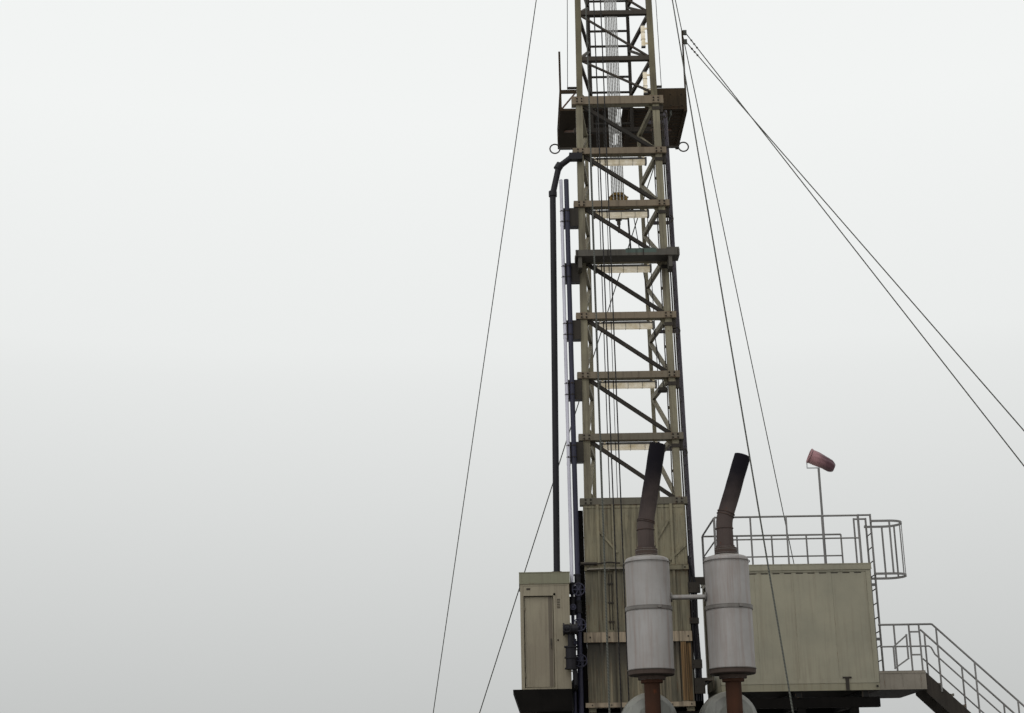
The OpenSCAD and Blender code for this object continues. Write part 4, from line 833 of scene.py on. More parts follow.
def ring(shape, centre, way, radius, thick, around=32, sides=8):
    """A closed ring, such as a weld bead, a clamp or a shackle's bow."""
    centre = Vector(centre)
    level, rise = frame_along(way)
    way = Vector(way).normalized()
    turns = []
    for k in range(around):
        out = level * math.cos(2 * math.pi * k / around) + rise * math.sin(2 * math.pi * k / around)
        turns.append(
            [
                shape.verts.new(
                    centre
                    + out * (radius + thick * math.cos(2 * math.pi * s / sides))
                    + way * (thick * math.sin(2 * math.pi * s / sides))
                )
                for s in range(sides)
            ]
        )
    for k in range(around):
        a, b = turns[k], turns[(k + 1) % around]
        for s in range(sides):
            shape.faces.new((a[s], a[(s + 1) % sides], b[(s + 1) % sides], b[s]))


def arc(centre, first, second, radius, start, end, steps):
    """Points on an arc: first and second span its plane, start and end are in degrees."""
    centre, first, second = Vector(centre), Vector(first), Vector(second)
    turns = [math.radians(start + (end - start) * k / steps) for k in range(steps + 1)]
    return [centre + (first * math.cos(a) + second * math.sin(a)) * radius for a in turns]


def piece(name, shape, finish, body="rig", crease=35):
    """Turns a bmesh that was drawn from the well centre into a piece that rides on a body."""
    bmesh.ops.recalc_face_normals(shape, faces=shape.faces)
    for face in shape.faces:
        face.smooth = True
    bmesh.ops.translate(shape, vec=WELL, verts=shape.verts)
    mesh = bpy.data.meshes.new(name)
    shape.to_mesh(mesh)
    shape.free()
    mesh.set_sharp_from_angle(angle=math.radians(crease))
    mesh.materials.append(finish)
    made = bpy.data.objects.new(name, mesh)
    bpy.context.scene.collection.objects.link(made)
    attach(made, body)
    return made


# %% [markdown]
# ## Gussets, bolts and clamps on the mast
#
# Where a girt crosses a leg, a plate is welded behind the corner and the girt is bolted through it. The
# right leg also carries dark clamps that hold hydraulic lines and the ladder. All sit on the same lines as
# the construction's legs and girts, so the leg's half spacing is worked out here from the same few sizes.

# %% Lines of the mast
MAST_FOOT = 3.75
HALF_FOOT, HALF_TOP = 1.023, 0.901
NEAR_Y = -0.95
LEG = 0.155
LOW_GIRT, GIRT_STEP, STEP_LOSS = 8.2, 1.437, 0.011
GIRTS = [LOW_GIRT + i * GIRT_STEP - STEP_LOSS * i * (i - 1) for i in range(8)]
GIRT_HIGH = 0.15
GIRT_FACE = NEAR_Y - LEG / 2 - 0.055
SPLICE = GIRTS[-1] + 0.1


def half_spacing(z):
    """Half the distance between the near legs' centres at height z."""
    return HALF_FOOT + (HALF_TOP - HALF_FOOT) * (z - MAST_FOOT) / (GIRTS[-1] - MAST_FOOT)


joints = bmesh.new()
fixings = bmesh.new()
for z in GIRTS:
    high = 0.2 if z == GIRTS[-1] else GIRT_HIGH
    for side in (-1, 1):
        x = side * half_spacing(z)
        inner = x - side * (LEG / 2 + 0.12)
        for way in (-1, 1):
            corner = [
                (x - side * LEG / 2, NEAR_Y + 0.01, z + way * high / 2),
                (inner, NEAR_Y + 0.01, z + way * high / 2),
                (x - side * LEG / 2, NEAR_Y + 0.01, z + way * (high / 2 + 0.14)),
            ]
            front = [joints.verts.new(p) for p in corner]
            back = [joints.verts.new(Vector(p) + Vector((0, 0.014, 0))) for p in corner]
            joints.faces.new(front)
            joints.faces.new(back[::-1])
            for k in range(3):
                joints.faces.new((front[k], back[k], back[(k + 1) % 3], front[(k + 1) % 3]))
        slab(
            joints,
            (x - LEG / 2 - 0.012, GIRT_FACE - 0.010, z - high / 2 + 0.014),
            (x + LEG / 2 + 0.012, GIRT_FACE, z + high / 2 - 0.014),
        )
        for i in (-1, 1):
            for j in (-1, 1):
                bolt(fixings, (x + i * 0.055, GIRT_FACE - 0.010, z + j * 0.035), (0, -1, 0), 0.034)
piece("mast_gussets", joints, mast_enamel)
piece("mast_bolts", fixings, greased_steel)

clamps = bmesh.new()
for k, z in enumerate(GIRTS[1:], 1):
    x = half_spacing(z) + LEG / 2
    slab(clamps, (x + 0.005, NEAR_Y - 0.06, z - 0.30), (x + 0.085, NEAR_Y + 0.05, z - 0.10))
    slab(clamps, (x - LEG - 0.02, NEAR_Y - 0.098, z - 0.25), (x + 0.02, NEAR_Y - 0.0785, z - 0.17))
    if k % 2:
        tube(
            clamps,
            arc((x + 0.085, NEAR_Y, z - 0.35), (0, 0, 1), (1, 0, 0), 0.09, 20, 160, 8),
            0.018,
            8,
        )
for x, radius in ((1.03 + LEG / 2, 0.017), (1.07 + LEG / 2, 0.012)):
    run = [(x + half_spacing(z) - 0.99, NEAR_Y - 0.01, z) for z in (4.6, 6.0, *GIRTS[:-1], SPLICE - 0.2)]
    tube(clamps, run, radius, 8)
for k, z in enumerate(GIRTS[:-1]):
    x = half_spacing(z) - LEG / 2
    tube(clamps, [(x - 0.022, NEAR_Y + 0.06, z + 0.08), (x - 0.034, NEAR_Y + 0.06, z + 0.7),
                  (x - 0.028, NEAR_Y + 0.06, GIRTS[k + 1] - 0.08)], 0.013, 8)
    slab(clamps, (x - 0.045, NEAR_Y + 0.04, z + 0.66), (x + 0.004, NEAR_Y + 0.076, z + 0.72))
piece("hydraulic_lines_and_clamps", clamps, greased_steel)

covers = bmesh.new()
PIPE_Y, MUD_X, CONDUIT_X = -1.12, -1.262, -1.385
for z in GIRTS[1:6]:
    right = -half_spacing(z) - LEG / 2
    slab(covers, (CONDUIT_X - 0.004, PIPE_Y + 0.031, z - 0.552), (right - 0.002, PIPE_Y + 0.035, z - 0.108))
    for x, radius in ((MUD_X, 0.058), (CONDUIT_X, 0.040)):
        for h in (-0.46, -0.20):
            ring(covers, (x, PIPE_Y, z + h), (0, 0, 1), radius, 0.007, 24, 6)
            slab(covers, (x - 0.012, PIPE_Y - radius - 0.014, z + h - 0.014),
                 (x + 0.012, PIPE_Y - radius + 0.002, z + h + 0.014))
piece("pipe_clamp_plates", covers, greased_steel)
sleeves = bmesh.new()
tube(sleeves, [(CONDUIT_X, PIPE_Y, 6.45), (CONDUIT_X, PIPE_Y, 15.745)], 0.0375, 20)
for z in (9.0, 11.9, 14.6):
    tube(sleeves, [(CONDUIT_X, PIPE_Y, z), (CONDUIT_X, PIPE_Y, z + 0.06)], 0.042, 20)
piece("conduit_sleeve", sleeves, pipe_lilac)
print("joints on", len(GIRTS), "girts")


# %% [markdown]
# ## Working lines inside the mast
#
# Three thin taut ropes run down just behind the girts, each from a shackle at the splice to a clip on the
# low beam. A short thick one hangs from the sixth girt, two thin ones slant from there to a bar at the
# right leg, and two long ones come down from the crown to the splice. All are straight, so a tube is
# enough, and the rope finish gives the strands. They belong to the mast and stay where they are when the
# block travels.

# %% Working lines
ROPE_Y = NEAR_Y + 0.098
working = bmesh.new()
for x, radius in ((-0.68, 0.009), (-0.50, 0.011), (-0.33, 0.008)):
    tube(working, [(x, ROPE_Y, 5.32), (x, ROPE_Y, 10.0), (x, ROPE_Y, SPLICE - 0.25)], radius, 8)
for start, end, radius in (
    ((0.16, NEAR_Y + 0.25, GIRTS[5] - 0.02), (0.20, NEAR_Y + 0.22, GIRTS[4] + 0.12), 0.022),
    ((0.27, NEAR_Y + 0.40, GIRTS[5] + 0.2), (0.80, NEAR_Y + 0.10, GIRTS[2] - 0.3), 0.011),
    ((0.62, NEAR_Y + 0.30, GIRTS[5] - 0.1), (0.69, NEAR_Y + 0.20, GIRTS[2] - 0.3), 0.009),
):
    tube(working, [start, end], radius, 8)
for start, end in (
    ((-0.93, -1.0, 28.1), (-1.16, -0.95, SPLICE + 0.3)),
    ((0.93, -1.0, 28.1), (1.06, -0.95, SPLICE + 0.3)),
):
    tube(working, [start, end], 0.008, 8)
piece("working_ropes", working, black_rope)

shackles = bmesh.new()
for x in (-0.68, -0.50, -0.33):
    slab(shackles, (x - 0.02, NEAR_Y + 0.04, 5.29), (x + 0.02, ROPE_Y + 0.02, 5.35))
    slab(shackles, (x - 0.018, NEAR_Y + 0.07, SPLICE - 0.29), (x + 0.018, ROPE_Y + 0.02, SPLICE - 0.22))
slab(shackles, (0.12, NEAR_Y + 0.081, GIRTS[5] - 0.04), (0.21, NEAR_Y + 0.27, GIRTS[5] + 0.03))
slab(shackles, (0.24, NEAR_Y + 0.081, GIRTS[5] + 0.0), (0.30, NEAR_Y + 0.42, GIRTS[5] + 0.06))
slab(shackles, (0.60, NEAR_Y + 0.081, GIRTS[5] - 0.03), (0.64, NEAR_Y + 0.32, GIRTS[5] + 0.03))
slab(shackles, (0.66, NEAR_Y + 0.0, GIRTS[2] - 0.34), (0.86, NEAR_Y + 0.22, GIRTS[2] - 0.27))
for x, reach in ((-1.16, -0.24), (1.06, 0.14)):
    left, right = sorted((x, x - reach))
    slab(shackles, (left - 0.012, -0.97, SPLICE + 0.26), (right + 0.012, -0.93, SPLICE + 0.31))
piece("rope_shackles", shackles, greased_steel)


# %% [markdown]
# ## Lamp housings
#
# The lamps are fluorescent tubes in opal covers. The construction holds the cover itself. The real fixture
# has a grey tray on top, end caps, and three wire hoops that guard the cover, so those are added around
# it.

# %% Lamp housings
lamp_low, lamp_high = at_well("light_fixtures")
LAMP_HALF = 0.625
LAMP_NEAR, LAMP_FAR = NEAR_Y + 0.12, NEAR_Y + 0.24
trays = bmesh.new()
for z in GIRTS[1:7]:
    top = z - GIRT_HIGH / 2
    for near, far in ((LAMP_NEAR - 0.012, LAMP_NEAR - 0.001), (LAMP_FAR + 0.001, LAMP_FAR + 0.012)):
        slab(trays, (-LAMP_HALF - 0.01, near, top - 0.045), (LAMP_HALF + 0.01, far, top + 0.004))
    for side in (-1, 1):
        x = side * LAMP_HALF
        slab(trays, (x - 0.022, LAMP_NEAR - 0.014, top - 0.156), (x + 0.022, LAMP_FAR + 0.014, top + 0.004))
    for x in (-0.32, 0.0, 0.32):
        hoop = [
            (x, LAMP_NEAR - 0.010, top),
            (x, LAMP_NEAR - 0.014, top - 0.12),
            (x, LAMP_NEAR + 0.01, top - 0.158),
            (x, LAMP_FAR - 0.01, top - 0.158),
            (x, LAMP_FAR + 0.014, top - 0.12),
            (x, LAMP_FAR + 0.010, top),
        ]
        tube(trays, hoop, 0.005, 6)
for z in (SPLICE + 0.15, SPLICE + 1.39):
    for h in (0.0, 0.56):
        slab(trays, (0.64, -0.9115, z + h - 0.012), (0.74, -0.8215, z + h + 0.012))
    for h in (0.19, 0.38):
        tube(trays, [(0.64, -0.823, z + h), (0.64, -0.9115, z + h),
                     (0.74, -0.9115, z + h), (0.74, -0.823, z + h)], 0.004, 6)
piece("lamp_trays_and_guards", trays, rail_primer)
print("lamps between", round(lamp_low.z, 2), "and", round(lamp_high.z, 2))


# %% [markdown]
# ## Silencers
#
# The silencers are rolled sheet: two shells, joined by a clamped band at half height, with a rounded top
# and a conical underside. Years of heat and knocks have dented them, which a perfect cylinder wouldn't
# show. So each skin is turned on a lathe as a profile of rings, and every ring is then pressed in a little
# by a noise field. Dents only go inward, so the skin stays inside the construction's solid.

# %% Silencer skins
SILENCERS = (-0.205, 1.230)
SILENCER_Y = -6.0
SILENCER_R = 0.415
silencer_low, silencer_high = at_well("silencers")
SKIN_FOOT = silencer_low.z + 0.12


def lathe(shape, x, y, profile, around=96, dent=0.0, seed=0.0):
    """Rings (radius, height) about an upright axis at x, y, pressed in by up to dent metres."""
    rings = []
    for radius, z in profile:
        line = []
        for k in range(around):
            a = 2 * math.pi * k / around
            out = Vector((math.cos(a), math.sin(a), 0))
            press = 0.0
            if dent:
                broad = noise.noise(out * 1.3 + Vector((seed, seed, z * 1.1)))
                sharp = noise.noise(out * 3.4 + Vector((seed + 9, 0, z * 2.7)))
                press = dent * (0.5 + 0.5 * broad + 0.35 * max(0.0, sharp))
            line.append(shape.verts.new(Vector((x, y, z)) + out * max(0.001, radius - press)))
        rings.append(line)
    for a, b in zip(rings, rings[1:]):
        for k in range(around):
            shape.faces.new((a[k], a[(k + 1) % around], b[(k + 1) % around], b[k]))
    return rings


skins = bmesh.new()
bands = bmesh.new()
collars = bmesh.new()
for number, x in enumerate(SILENCERS):
    lower = [(SILENCER_R, SKIN_FOOT + 0.06 + 1.03 * k / 14) for k in range(15)]
    upper = [(SILENCER_R - 0.010, SKIN_FOOT + 1.14 + 0.80 * k / 12) for k in range(13)]
    shoulder = [
        (SILENCER_R - 0.076 + 0.066 * math.cos(a), SKIN_FOOT + 1.97 + 0.07 * math.sin(a))
        for a in (math.radians(15 * k) for k in range(1, 7))
    ]
    profile = (
        [(0.218, SKIN_FOOT - 0.12), (0.218, SKIN_FOOT - 0.08)]
        + [(0.30, SKIN_FOOT - 0.02), (0.36, SKIN_FOOT + 0.03)]
        + lower
        + upper
        + shoulder
        + [(0.28, SKIN_FOOT + 2.062), (0.198, SKIN_FOOT + 2.08)]
        + [(0.190, SKIN_FOOT + 2.21), (0.150, SKIN_FOOT + 2.21)]
    )
    ends = lathe(skins, x, SILENCER_Y, profile, dent=0.014, seed=number * 3.7)
    skins.faces.new(ends[0][::-1])
    skins.faces.new(ends[-1])
    for z in (SKIN_FOOT + 0.05, SKIN_FOOT + 1.09, SKIN_FOOT + 1.15, SKIN_FOOT + 1.95):
        ring(bands, (x, SILENCER_Y, z), (0, 0, 1), SILENCER_R + 0.002, 0.009, 72, 6)
    lathe(
        bands, x, SILENCER_Y, [(SILENCER_R - 0.01, SKIN_FOOT + 1.095), (SILENCER_R + 0.008, SKIN_FOOT + 1.10),
                               (SILENCER_R + 0.008, SKIN_FOOT + 1.145), (SILENCER_R - 0.01, SKIN_FOOT + 1.15)]
    )
    foot_collar = [
        (0.20, SKIN_FOOT - 0.119),
        (0.245, SKIN_FOOT - 0.115),
        (0.245, SKIN_FOOT - 0.06),
        (0.392, SKIN_FOOT - 0.045),
        (0.407, SKIN_FOOT - 0.030),
        (0.412, SKIN_FOOT + 0.052),
        (0.30, SKIN_FOOT + 0.056),
    ]
    lathe(collars, x, SILENCER_Y, foot_collar, 72)
    ring(collars, (x, SILENCER_Y, SKIN_FOOT + 2.087), (0, 0, 1), 0.199, 0.007, 48, 6)
    lathe(collars, x, SILENCER_Y, [(0.188, SKIN_FOOT + 2.084), (0.2015, SKIN_FOOT + 2.088),
                                   (0.2015, SKIN_FOOT + 2.204), (0.172, SKIN_FOOT + 2.2085)], 48)
    for z in (SKIN_FOOT + 2.10, SKIN_FOOT + 2.17):
        ring(bands, (x, SILENCER_Y, z), (0, 0, 1), 0.196, 0.008, 48, 6)
    slab(bands, (x + 0.13, SILENCER_Y - SILENCER_R - 0.008, SKIN_FOOT + 1.10),
         (x + 0.19, SILENCER_Y - SILENCER_R + 0.05, SKIN_FOOT + 1.145))
tie_z = SKIN_FOOT + 1.33
tube(
    skins,
    [
        (SILENCERS[0] + SILENCER_R - 0.03, SILENCER_Y, tie_z),
        (SILENCERS[1] - SILENCER_R + 0.03, SILENCER_Y, tie_z),
    ],
    0.044,
    24,
)
for side, x in ((1, SILENCERS[0] + SILENCER_R - 0.012), (-1, SILENCERS[1] - SILENCER_R + 0.012)):
    tube(bands, [(x, SILENCER_Y, tie_z), (x + side * 0.022, SILENCER_Y, tie_z)], 0.085, 24)
skin = piece("silencer_skins", skins, silencer_skin)
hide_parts("silencers")
piece("silencer_bands", bands, silencer_band_steel)
piece("silencer_collars", collars, collar_steel)
print("silencers from", round(silencer_low.z, 2), "to", round(silencer_high.z, 2), "m")


# %% [markdown]
# ## Outlet pipes
#
# An outlet pipe is a straight stub, a mitred bend and a long straight, open at the top with a sooty
# inside. The path is an arc between two straights, as in the construction. The wall is made by drawing the
# tube twice, outside and inside, and joining the two at the rim. A little noise makes the heated steel
# uneven.

# %% Outlet pipes
OUTLET_R = 0.155
BEND_R = 0.9
outlet_foot = silencer_high.z
pipes = bmesh.new()
beads = bmesh.new()
for x, turn, length in ((SILENCERS[0], 11, 1.45), (SILENCERS[1], 19, 1.12)):
    foot = Vector((x, SILENCER_Y, outlet_foot))
    centre = foot + Vector((BEND_R, 0, 0.35))
    path = [foot + Vector((0, 0, 0.35 * k / 6)) for k in range(6)]
    path += arc(centre, (-1, 0, 0), (0, 0, 1), BEND_R, 0, turn, 6)
    lean = Vector((math.sin(math.radians(turn)), 0, math.cos(math.radians(turn))))
    bend_end = path[-1].copy()
    path += [bend_end + lean * (length * k / 16) for k in range(1, 17)]
    outside = tube(pipes, path, OUTLET_R - 0.002, 40, ends=False)
    for line, place in zip(outside[1:], path[1:]):
        for v in line:
            out = (v.co - place).normalized()
            v.co -= out * 0.006 * max(0.0, 0.4 + noise.noise(v.co * 4.0))
    inner_path = path[-9:]
    inside = tube(pipes, inner_path, OUTLET_R - 0.012, 40, ends=False)
    pipes.faces.new(inside[0])
    for s in range(40):
        a, b = outside[-1], inside[-1]
        pipes.faces.new((a[s], a[(s + 1) % 40], b[(s + 1) % 40], b[s]))
    pipes.faces.new(outside[0][::-1])
    for place, way in ((foot + Vector((0, 0, 0.35)), (0, 0, 1)), (bend_end, lean), (path[11], lean)):
        ring(beads, place, way, OUTLET_R, 0.011, 48, 6)
    lathe(beads, x, SILENCER_Y, [(0.15, outlet_foot), (0.168, outlet_foot), (0.168, outlet_foot + 0.035),
                                 (0.15, outlet_foot + 0.035)], 48)
outlets = piece("outlet_pipes", pipes, outlet_steel, crease=50)
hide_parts("silencer_outlets")
piece("outlet_weld_beads", beads, outlet_steel)
print("outlets end at", round(at_well("silencer_outlets")[1].z, 2), "m")


# %% [markdown]
# ## Doghouse plating
#
# The doghouse is a steel cabin of welded plate. Folded corner posts and a head rail stand a few
# millimetres proud of the plates, the plates meet in dressed welds, and a row of vent slots runs below the
# roof. The slots are dark plates, whose colour is painted shade for the openings. Such thin steps matter,
# because each one draws a fine shadow line that tells the eye how large the wall is.

# %% Doghouse plating
house_low, house_high = at_well("doghouse_long_walls")
roof_low, roof_high = at_well("doghouse_roof")
POST_WIDE = 0.09
plating = bmesh.new()
slots = bmesh.new()
for y, out in ((house_low.y, -1), (house_high.y, 1)):
    for x in (house_low.x, house_high.x - POST_WIDE):
        slab(plating, (x, y, house_low.z), (x + POST_WIDE, y + out * 0.012, roof_low.z))
    for z, high, proud in ((house_low.z, POST_WIDE, 0.009), (roof_low.z - 0.05, 0.05, 0.014)):
        slab(plating, (house_low.x + POST_WIDE, y, z), (house_high.x - POST_WIDE, y + out * proud, z + high))
    for k in range(1, 4):
        x = house_low.x + (house_high.x - house_low.x) * k / 4
        weld_y = y + out * 0.0005
        tube(plating, [(x, weld_y, house_low.z + POST_WIDE), (x, weld_y, roof_low.z - 0.05)], 0.004, 6)
    # Painted shade: each vent slot is a thin dark plate, not an opening.
    for k in range(12):
        x = house_low.x + 0.22 + k * 0.245
        slab(slots, (x, y, roof_low.z - 0.085), (x + 0.15, y + out * 0.004, roof_low.z - 0.065))
for x, out in ((house_high.x, 1), (house_low.x, -1)):
    post_face, rail_face = x + out * 0.010, x + out * 0.012
    slab(plating, (x, house_low.y, house_low.z), (post_face, house_low.y + POST_WIDE, roof_low.z))
    slab(plating, (x, house_high.y - POST_WIDE, house_low.z), (post_face, house_high.y, roof_low.z))
    slab(plating, (x, house_low.y + POST_WIDE, roof_low.z - 0.06),
         (rail_face, house_high.y - POST_WIDE, roof_low.z))
    for k in range(5):
        z = roof_low.z - 0.30 - k * 0.045
        slab(slots, (x, -1.05, z), (x + out * 0.006, -0.65, z + 0.02))
for y, out in ((roof_low.y, -1), (roof_high.y, 1)):
    for low_z, high_z in (
        (roof_low.z - 0.012, roof_low.z + 0.018),
        (roof_high.z - 0.022, roof_high.z - 0.004),
    ):
        slab(plating, (roof_low.x - 0.004, y, low_z), (roof_high.x + 0.004, y + out * 0.006, high_z))
piece("doghouse_plating", plating, cabin_enamel)
slab(slots, (4.175, house_low.y - 0.03, 4.09), (4.245, house_low.y - 0.001, 4.33))
slab(slots, (4.12, house_low.y - 0.035, 4.33), (4.30, house_low.y - 0.001, 4.355))
slab(slots, (4.80, house_low.y - 0.03, 4.14), (4.84, house_low.y - 0.012, 4.18))
piece("doghouse_vents", slots, greased_steel)

WALL_THICK, DOOR_FROM_CORNER, DOOR_WIDE, FRAME_WIDE = 0.06, 0.2, 0.85, 0.06
DOOR_FOOT, DOOR_HEAD = 4.24, 6.50
DOOR_Y1 = house_high.y - WALL_THICK - DOOR_FROM_CORNER
DOOR_Y0 = DOOR_Y1 - DOOR_WIDE
frames = bmesh.new()
for x, out in ((house_high.x, 1), (house_low.x, -1)):
    for low_y, high_y, low_z, high_z in (
        (DOOR_Y0 - FRAME_WIDE, DOOR_Y0, DOOR_FOOT, DOOR_HEAD + FRAME_WIDE),
        (DOOR_Y1, DOOR_Y1 + FRAME_WIDE, DOOR_FOOT, DOOR_HEAD + FRAME_WIDE),
        (DOOR_Y0, DOOR_Y1, DOOR_HEAD, DOOR_HEAD + FRAME_WIDE),
    ):
        slab(frames, (x, low_y, low_z), (x + out * 0.02, high_y, high_z))
piece("doghouse_door_frames", frames, locker_enamel)


# %% [markdown]
# ## Locker
#
# The locker is folded sheet too. A raised frame goes round its recessed door, and the door has two
# stiffening folds and a drop handle. Louvres sit on the shell beside the door. The handle and folds ride
# on the door's own body, so they swing with it.

# %% Locker frame and door fittings
locker_low = at_well("locker_shell")[0]
door_low = at_well("locker_door")[0]
locker_frame = bmesh.new()
face_y = locker_low.y + 0.018
for low, high in (
    ((-2.488, 4.20), (-2.424, 6.37)),
    ((-1.798, 4.20), (-1.755, 6.17)),
    ((-2.424, 6.125), (-1.755, 6.17)),
    ((-1.50, 4.20), (-1.462, 6.37)),
    ((-2.424, 6.33), (-1.50, 6.37)),
):
    slab(locker_frame, (low[0], face_y - 0.007, low[1]), (high[0], face_y, high[1]))
slab(locker_frame, (-2.512, face_y - 0.026, 6.372), (-1.438, face_y - 0.018, 6.392))
slab(locker_frame, (-2.512, face_y - 0.026, 6.598), (-1.438, face_y - 0.018, 6.618))
tube(locker_frame, [(-1.62, face_y, 4.24), (-1.62, face_y, 6.30)], 0.004, 6)
for z in (4.75, 5.45):
    tube(locker_frame, [(-1.62, face_y, z), (-1.50, face_y, z)], 0.004, 6)
piece("locker_frame", locker_frame, locker_enamel)

locker_marks = bmesh.new()
slab(locker_marks, (-2.36, face_y - 0.006, 6.245), (-2.28, face_y, 6.285))
for k in range(6):
    slab(locker_marks, (-1.72, face_y - 0.006, 5.86 + k * 0.035), (-1.66, face_y, 5.875 + k * 0.035))
bolt(locker_marks, (-1.72, face_y, 5.2), (0, -1, 0), 0.03)
piece("locker_vents", locker_marks, greased_steel)

DOOR_FACE = -1.4375
door_fittings = bmesh.new()
for x in (-2.26, -2.10, -1.94):
    slab(door_fittings, (x - 0.022, DOOR_FACE - 0.006, 4.34), (x + 0.022, DOOR_FACE + 0.0005, 6.02))
for z in (4.30, 6.03):
    slab(door_fittings, (-2.36, DOOR_FACE - 0.005, z), (-1.86, DOOR_FACE + 0.0005, z + 0.025))
piece("locker_door_folds", door_fittings, locker_enamel, body="door")
door_handle = bmesh.new()
slab(door_handle, (-1.875, -1.452, 5.10), (-1.845, -1.437, 5.24))
tube(door_handle, [(-1.86, -1.45, 5.17), (-1.86, -1.472, 5.17), (-1.86, -1.476, 5.16), (-1.86, -1.476, 5.02)],
     [0.011, 0.011, 0.010, 0.008], 12)
for z in (5.125, 5.215):
    bolt(door_handle, (-1.86, -1.452, z), (0, -1, 0), 0.014)
piece("locker_door_handle", door_handle, bare_sheave, body="door")
print("locker door face at", round(door_low.y, 3))


# %% [markdown]
# ## Panels behind the silencers
#
# The lower mast is closed with ribbed steel panels that keep out the wind. The ribs are folded into the
# sheet, so from the front they show as narrow vertical steps. A drip rail, rows of bolts, a strip that has
# rusted through its paint, and a few cables with clips finish them.

# %% Panel ribs, cleats and the rusted strip
WALL_Y = -1.0578
ribs = bmesh.new()
cleats = bmesh.new()
for low_z, high_z in ((3.95, 5.17), (5.40, 6.68), (6.80, 8.115)):
    for k in range(15):
        x = -1.06 + k * 0.1515
        if min(abs(abs(x) - 0.792), abs(abs(x) - 0.462)) > 0.05:
            slab(ribs, (x - 0.016, WALL_Y - 0.007, low_z), (x + 0.016, WALL_Y, high_z))
for z in (5.285, 6.74, 3.89):
    for x in (-1.03, -0.63, -0.2, 0.2, 0.63, 1.03):
        bolt(cleats, (x, WALL_Y - 0.07, z), (0, -1, 0), 0.03)
slab(ribs, (-1.105, WALL_Y - 0.080, 6.790), (1.105, WALL_Y, 6.800))
slab(ribs, (-1.095, WALL_Y - 0.012, 8.05), (1.095, WALL_Y, 8.10))
slab(ribs, (-1.168, WALL_Y - 0.070, 5.180), (-1.101, WALL_Y - 0.010, 5.390))
slab(ribs, (-1.168, WALL_Y - 0.078, 3.845), (1.098, WALL_Y - 0.0705, 3.938))
piece("wall_ribs", ribs, wall_enamel)
for x in (-0.60, -0.54, 0.28):
    tube(cleats, [(x, WALL_Y - 0.016, 5.45), (x, WALL_Y - 0.016, 6.62)], 0.010, 8)
for z in (5.6, 6.0, 6.4):
    slab(cleats, (-0.63, WALL_Y - 0.030, z), (-0.51, WALL_Y - 0.003, z + 0.03))
tube(cleats, [(-1.19, WALL_Y - 0.110, 6.835), (-1.02, WALL_Y - 0.112, 6.835),
              (-0.84, WALL_Y - 0.110, 6.830)], 0.036, 12)
tube(cleats, [(-0.85, WALL_Y - 0.100, 6.83), (-0.60, WALL_Y - 0.11, 6.86),
              (-0.35, WALL_Y - 0.10, 6.84)], 0.018, 10)
piece("wall_cables_and_cleats", cleats, greased_steel)
strip = bmesh.new()
slab(strip, (0.860, WALL_Y - 0.066, 3.96), (0.968, WALL_Y - 0.0602, 5.17))
slab(strip, (0.985, WALL_Y - 0.012, 3.96), (1.075, WALL_Y, 5.15))
piece("rusted_strip", strip, rust_orange)
pale_line = bmesh.new()
tube(pale_line, [(-1.06, WALL_Y - 0.092, 6.715), (-0.62, WALL_Y - 0.092, 6.728),
                 (-0.10, WALL_Y - 0.092, 6.722)], 0.019, 12)
for x in (-1.0, -0.6, -0.18):
    slab(pale_line, (x - 0.015, WALL_Y - 0.092, 6.695), (x + 0.015, WALL_Y - 0.0705, 6.755))
piece("pale_water_line", pale_line, landing_enamel)


# %% [markdown]
# ## Valves and cable tray beside the panels
#
# Between the locker and the panels a tray carries black cables up the mast, and the mud line's branch
# valves stand in front of it. A valve is a cast body between two bolted flanges, so each one here is a fat
# tube with a flange ring at either end. Short pipes join the bodies to the line behind them, and one drops
# to the floor.

# %% Branch valves and the cable tray
# Painted shade: the tray is a near-black mass set in the dark gap between the mud line and the panels.
tray = bmesh.new()
slab(tray, (-1.204, -1.000, 3.95), (-1.102, -0.985, 8.02))
for x in (-1.183, -1.150, -1.118):
    tube(tray, [(x, -1.016, 3.97), (x + 0.003, -1.018, 5.9), (x, -1.016, 8.0)], 0.0155, 8)
for z in (4.4, 5.05, 5.9, 6.7, 7.4):
    slab(tray, (-1.206, -1.040, z), (-1.101, -1.0005, z + 0.035))
piece("cable_tray", tray, near_black_shaded_steel)

valves = bmesh.new()
BRANCH_Y = -1.64
for x, low_z, high_z, radius in (
    (CONDUIT_X, 5.76, 6.14, 0.070),
    (CONDUIT_X, 6.20, 6.44, 0.062),
    (MUD_X, 5.80, 6.06, 0.074),
    (MUD_X, 6.42, 6.62, 0.070),
):
    tube(valves, [(x, PIPE_Y, low_z), (x, PIPE_Y, high_z)], radius, 24)
    for z in (low_z + 0.015, high_z - 0.015):
        tube(valves, [(x, PIPE_Y, z - 0.013), (x, PIPE_Y, z + 0.013)], radius + 0.014, 24)
tube(valves, [(-1.615, BRANCH_Y, 5.40), (-1.315, BRANCH_Y, 5.40)], 0.105, 24)
for x in (-1.60, -1.46, -1.33):
    tube(valves, [(x - 0.014, BRANCH_Y, 5.40), (x + 0.014, BRANCH_Y, 5.40)], 0.132, 24)
tube(valves, [(-1.465, BRANCH_Y, 4.58), (-1.465, BRANCH_Y, 5.05)], 0.108, 24)
for z in (4.60, 4.82, 5.04):
    tube(valves, [(-1.465, BRANCH_Y, z - 0.015), (-1.465, BRANCH_Y, z + 0.015)], 0.136, 24)
tube(valves, [(-1.465, BRANCH_Y, 5.04), (-1.465, BRANCH_Y, 5.30)], 0.060, 16)
tube(valves, [(-1.400, BRANCH_Y, 4.60), (-1.380, BRANCH_Y, 4.50), (-1.378, BRANCH_Y, 4.28),
              (-1.378, BRANCH_Y + 0.08, 4.22), (-1.380, PIPE_Y - 0.03, 4.22)], 0.044, 16)
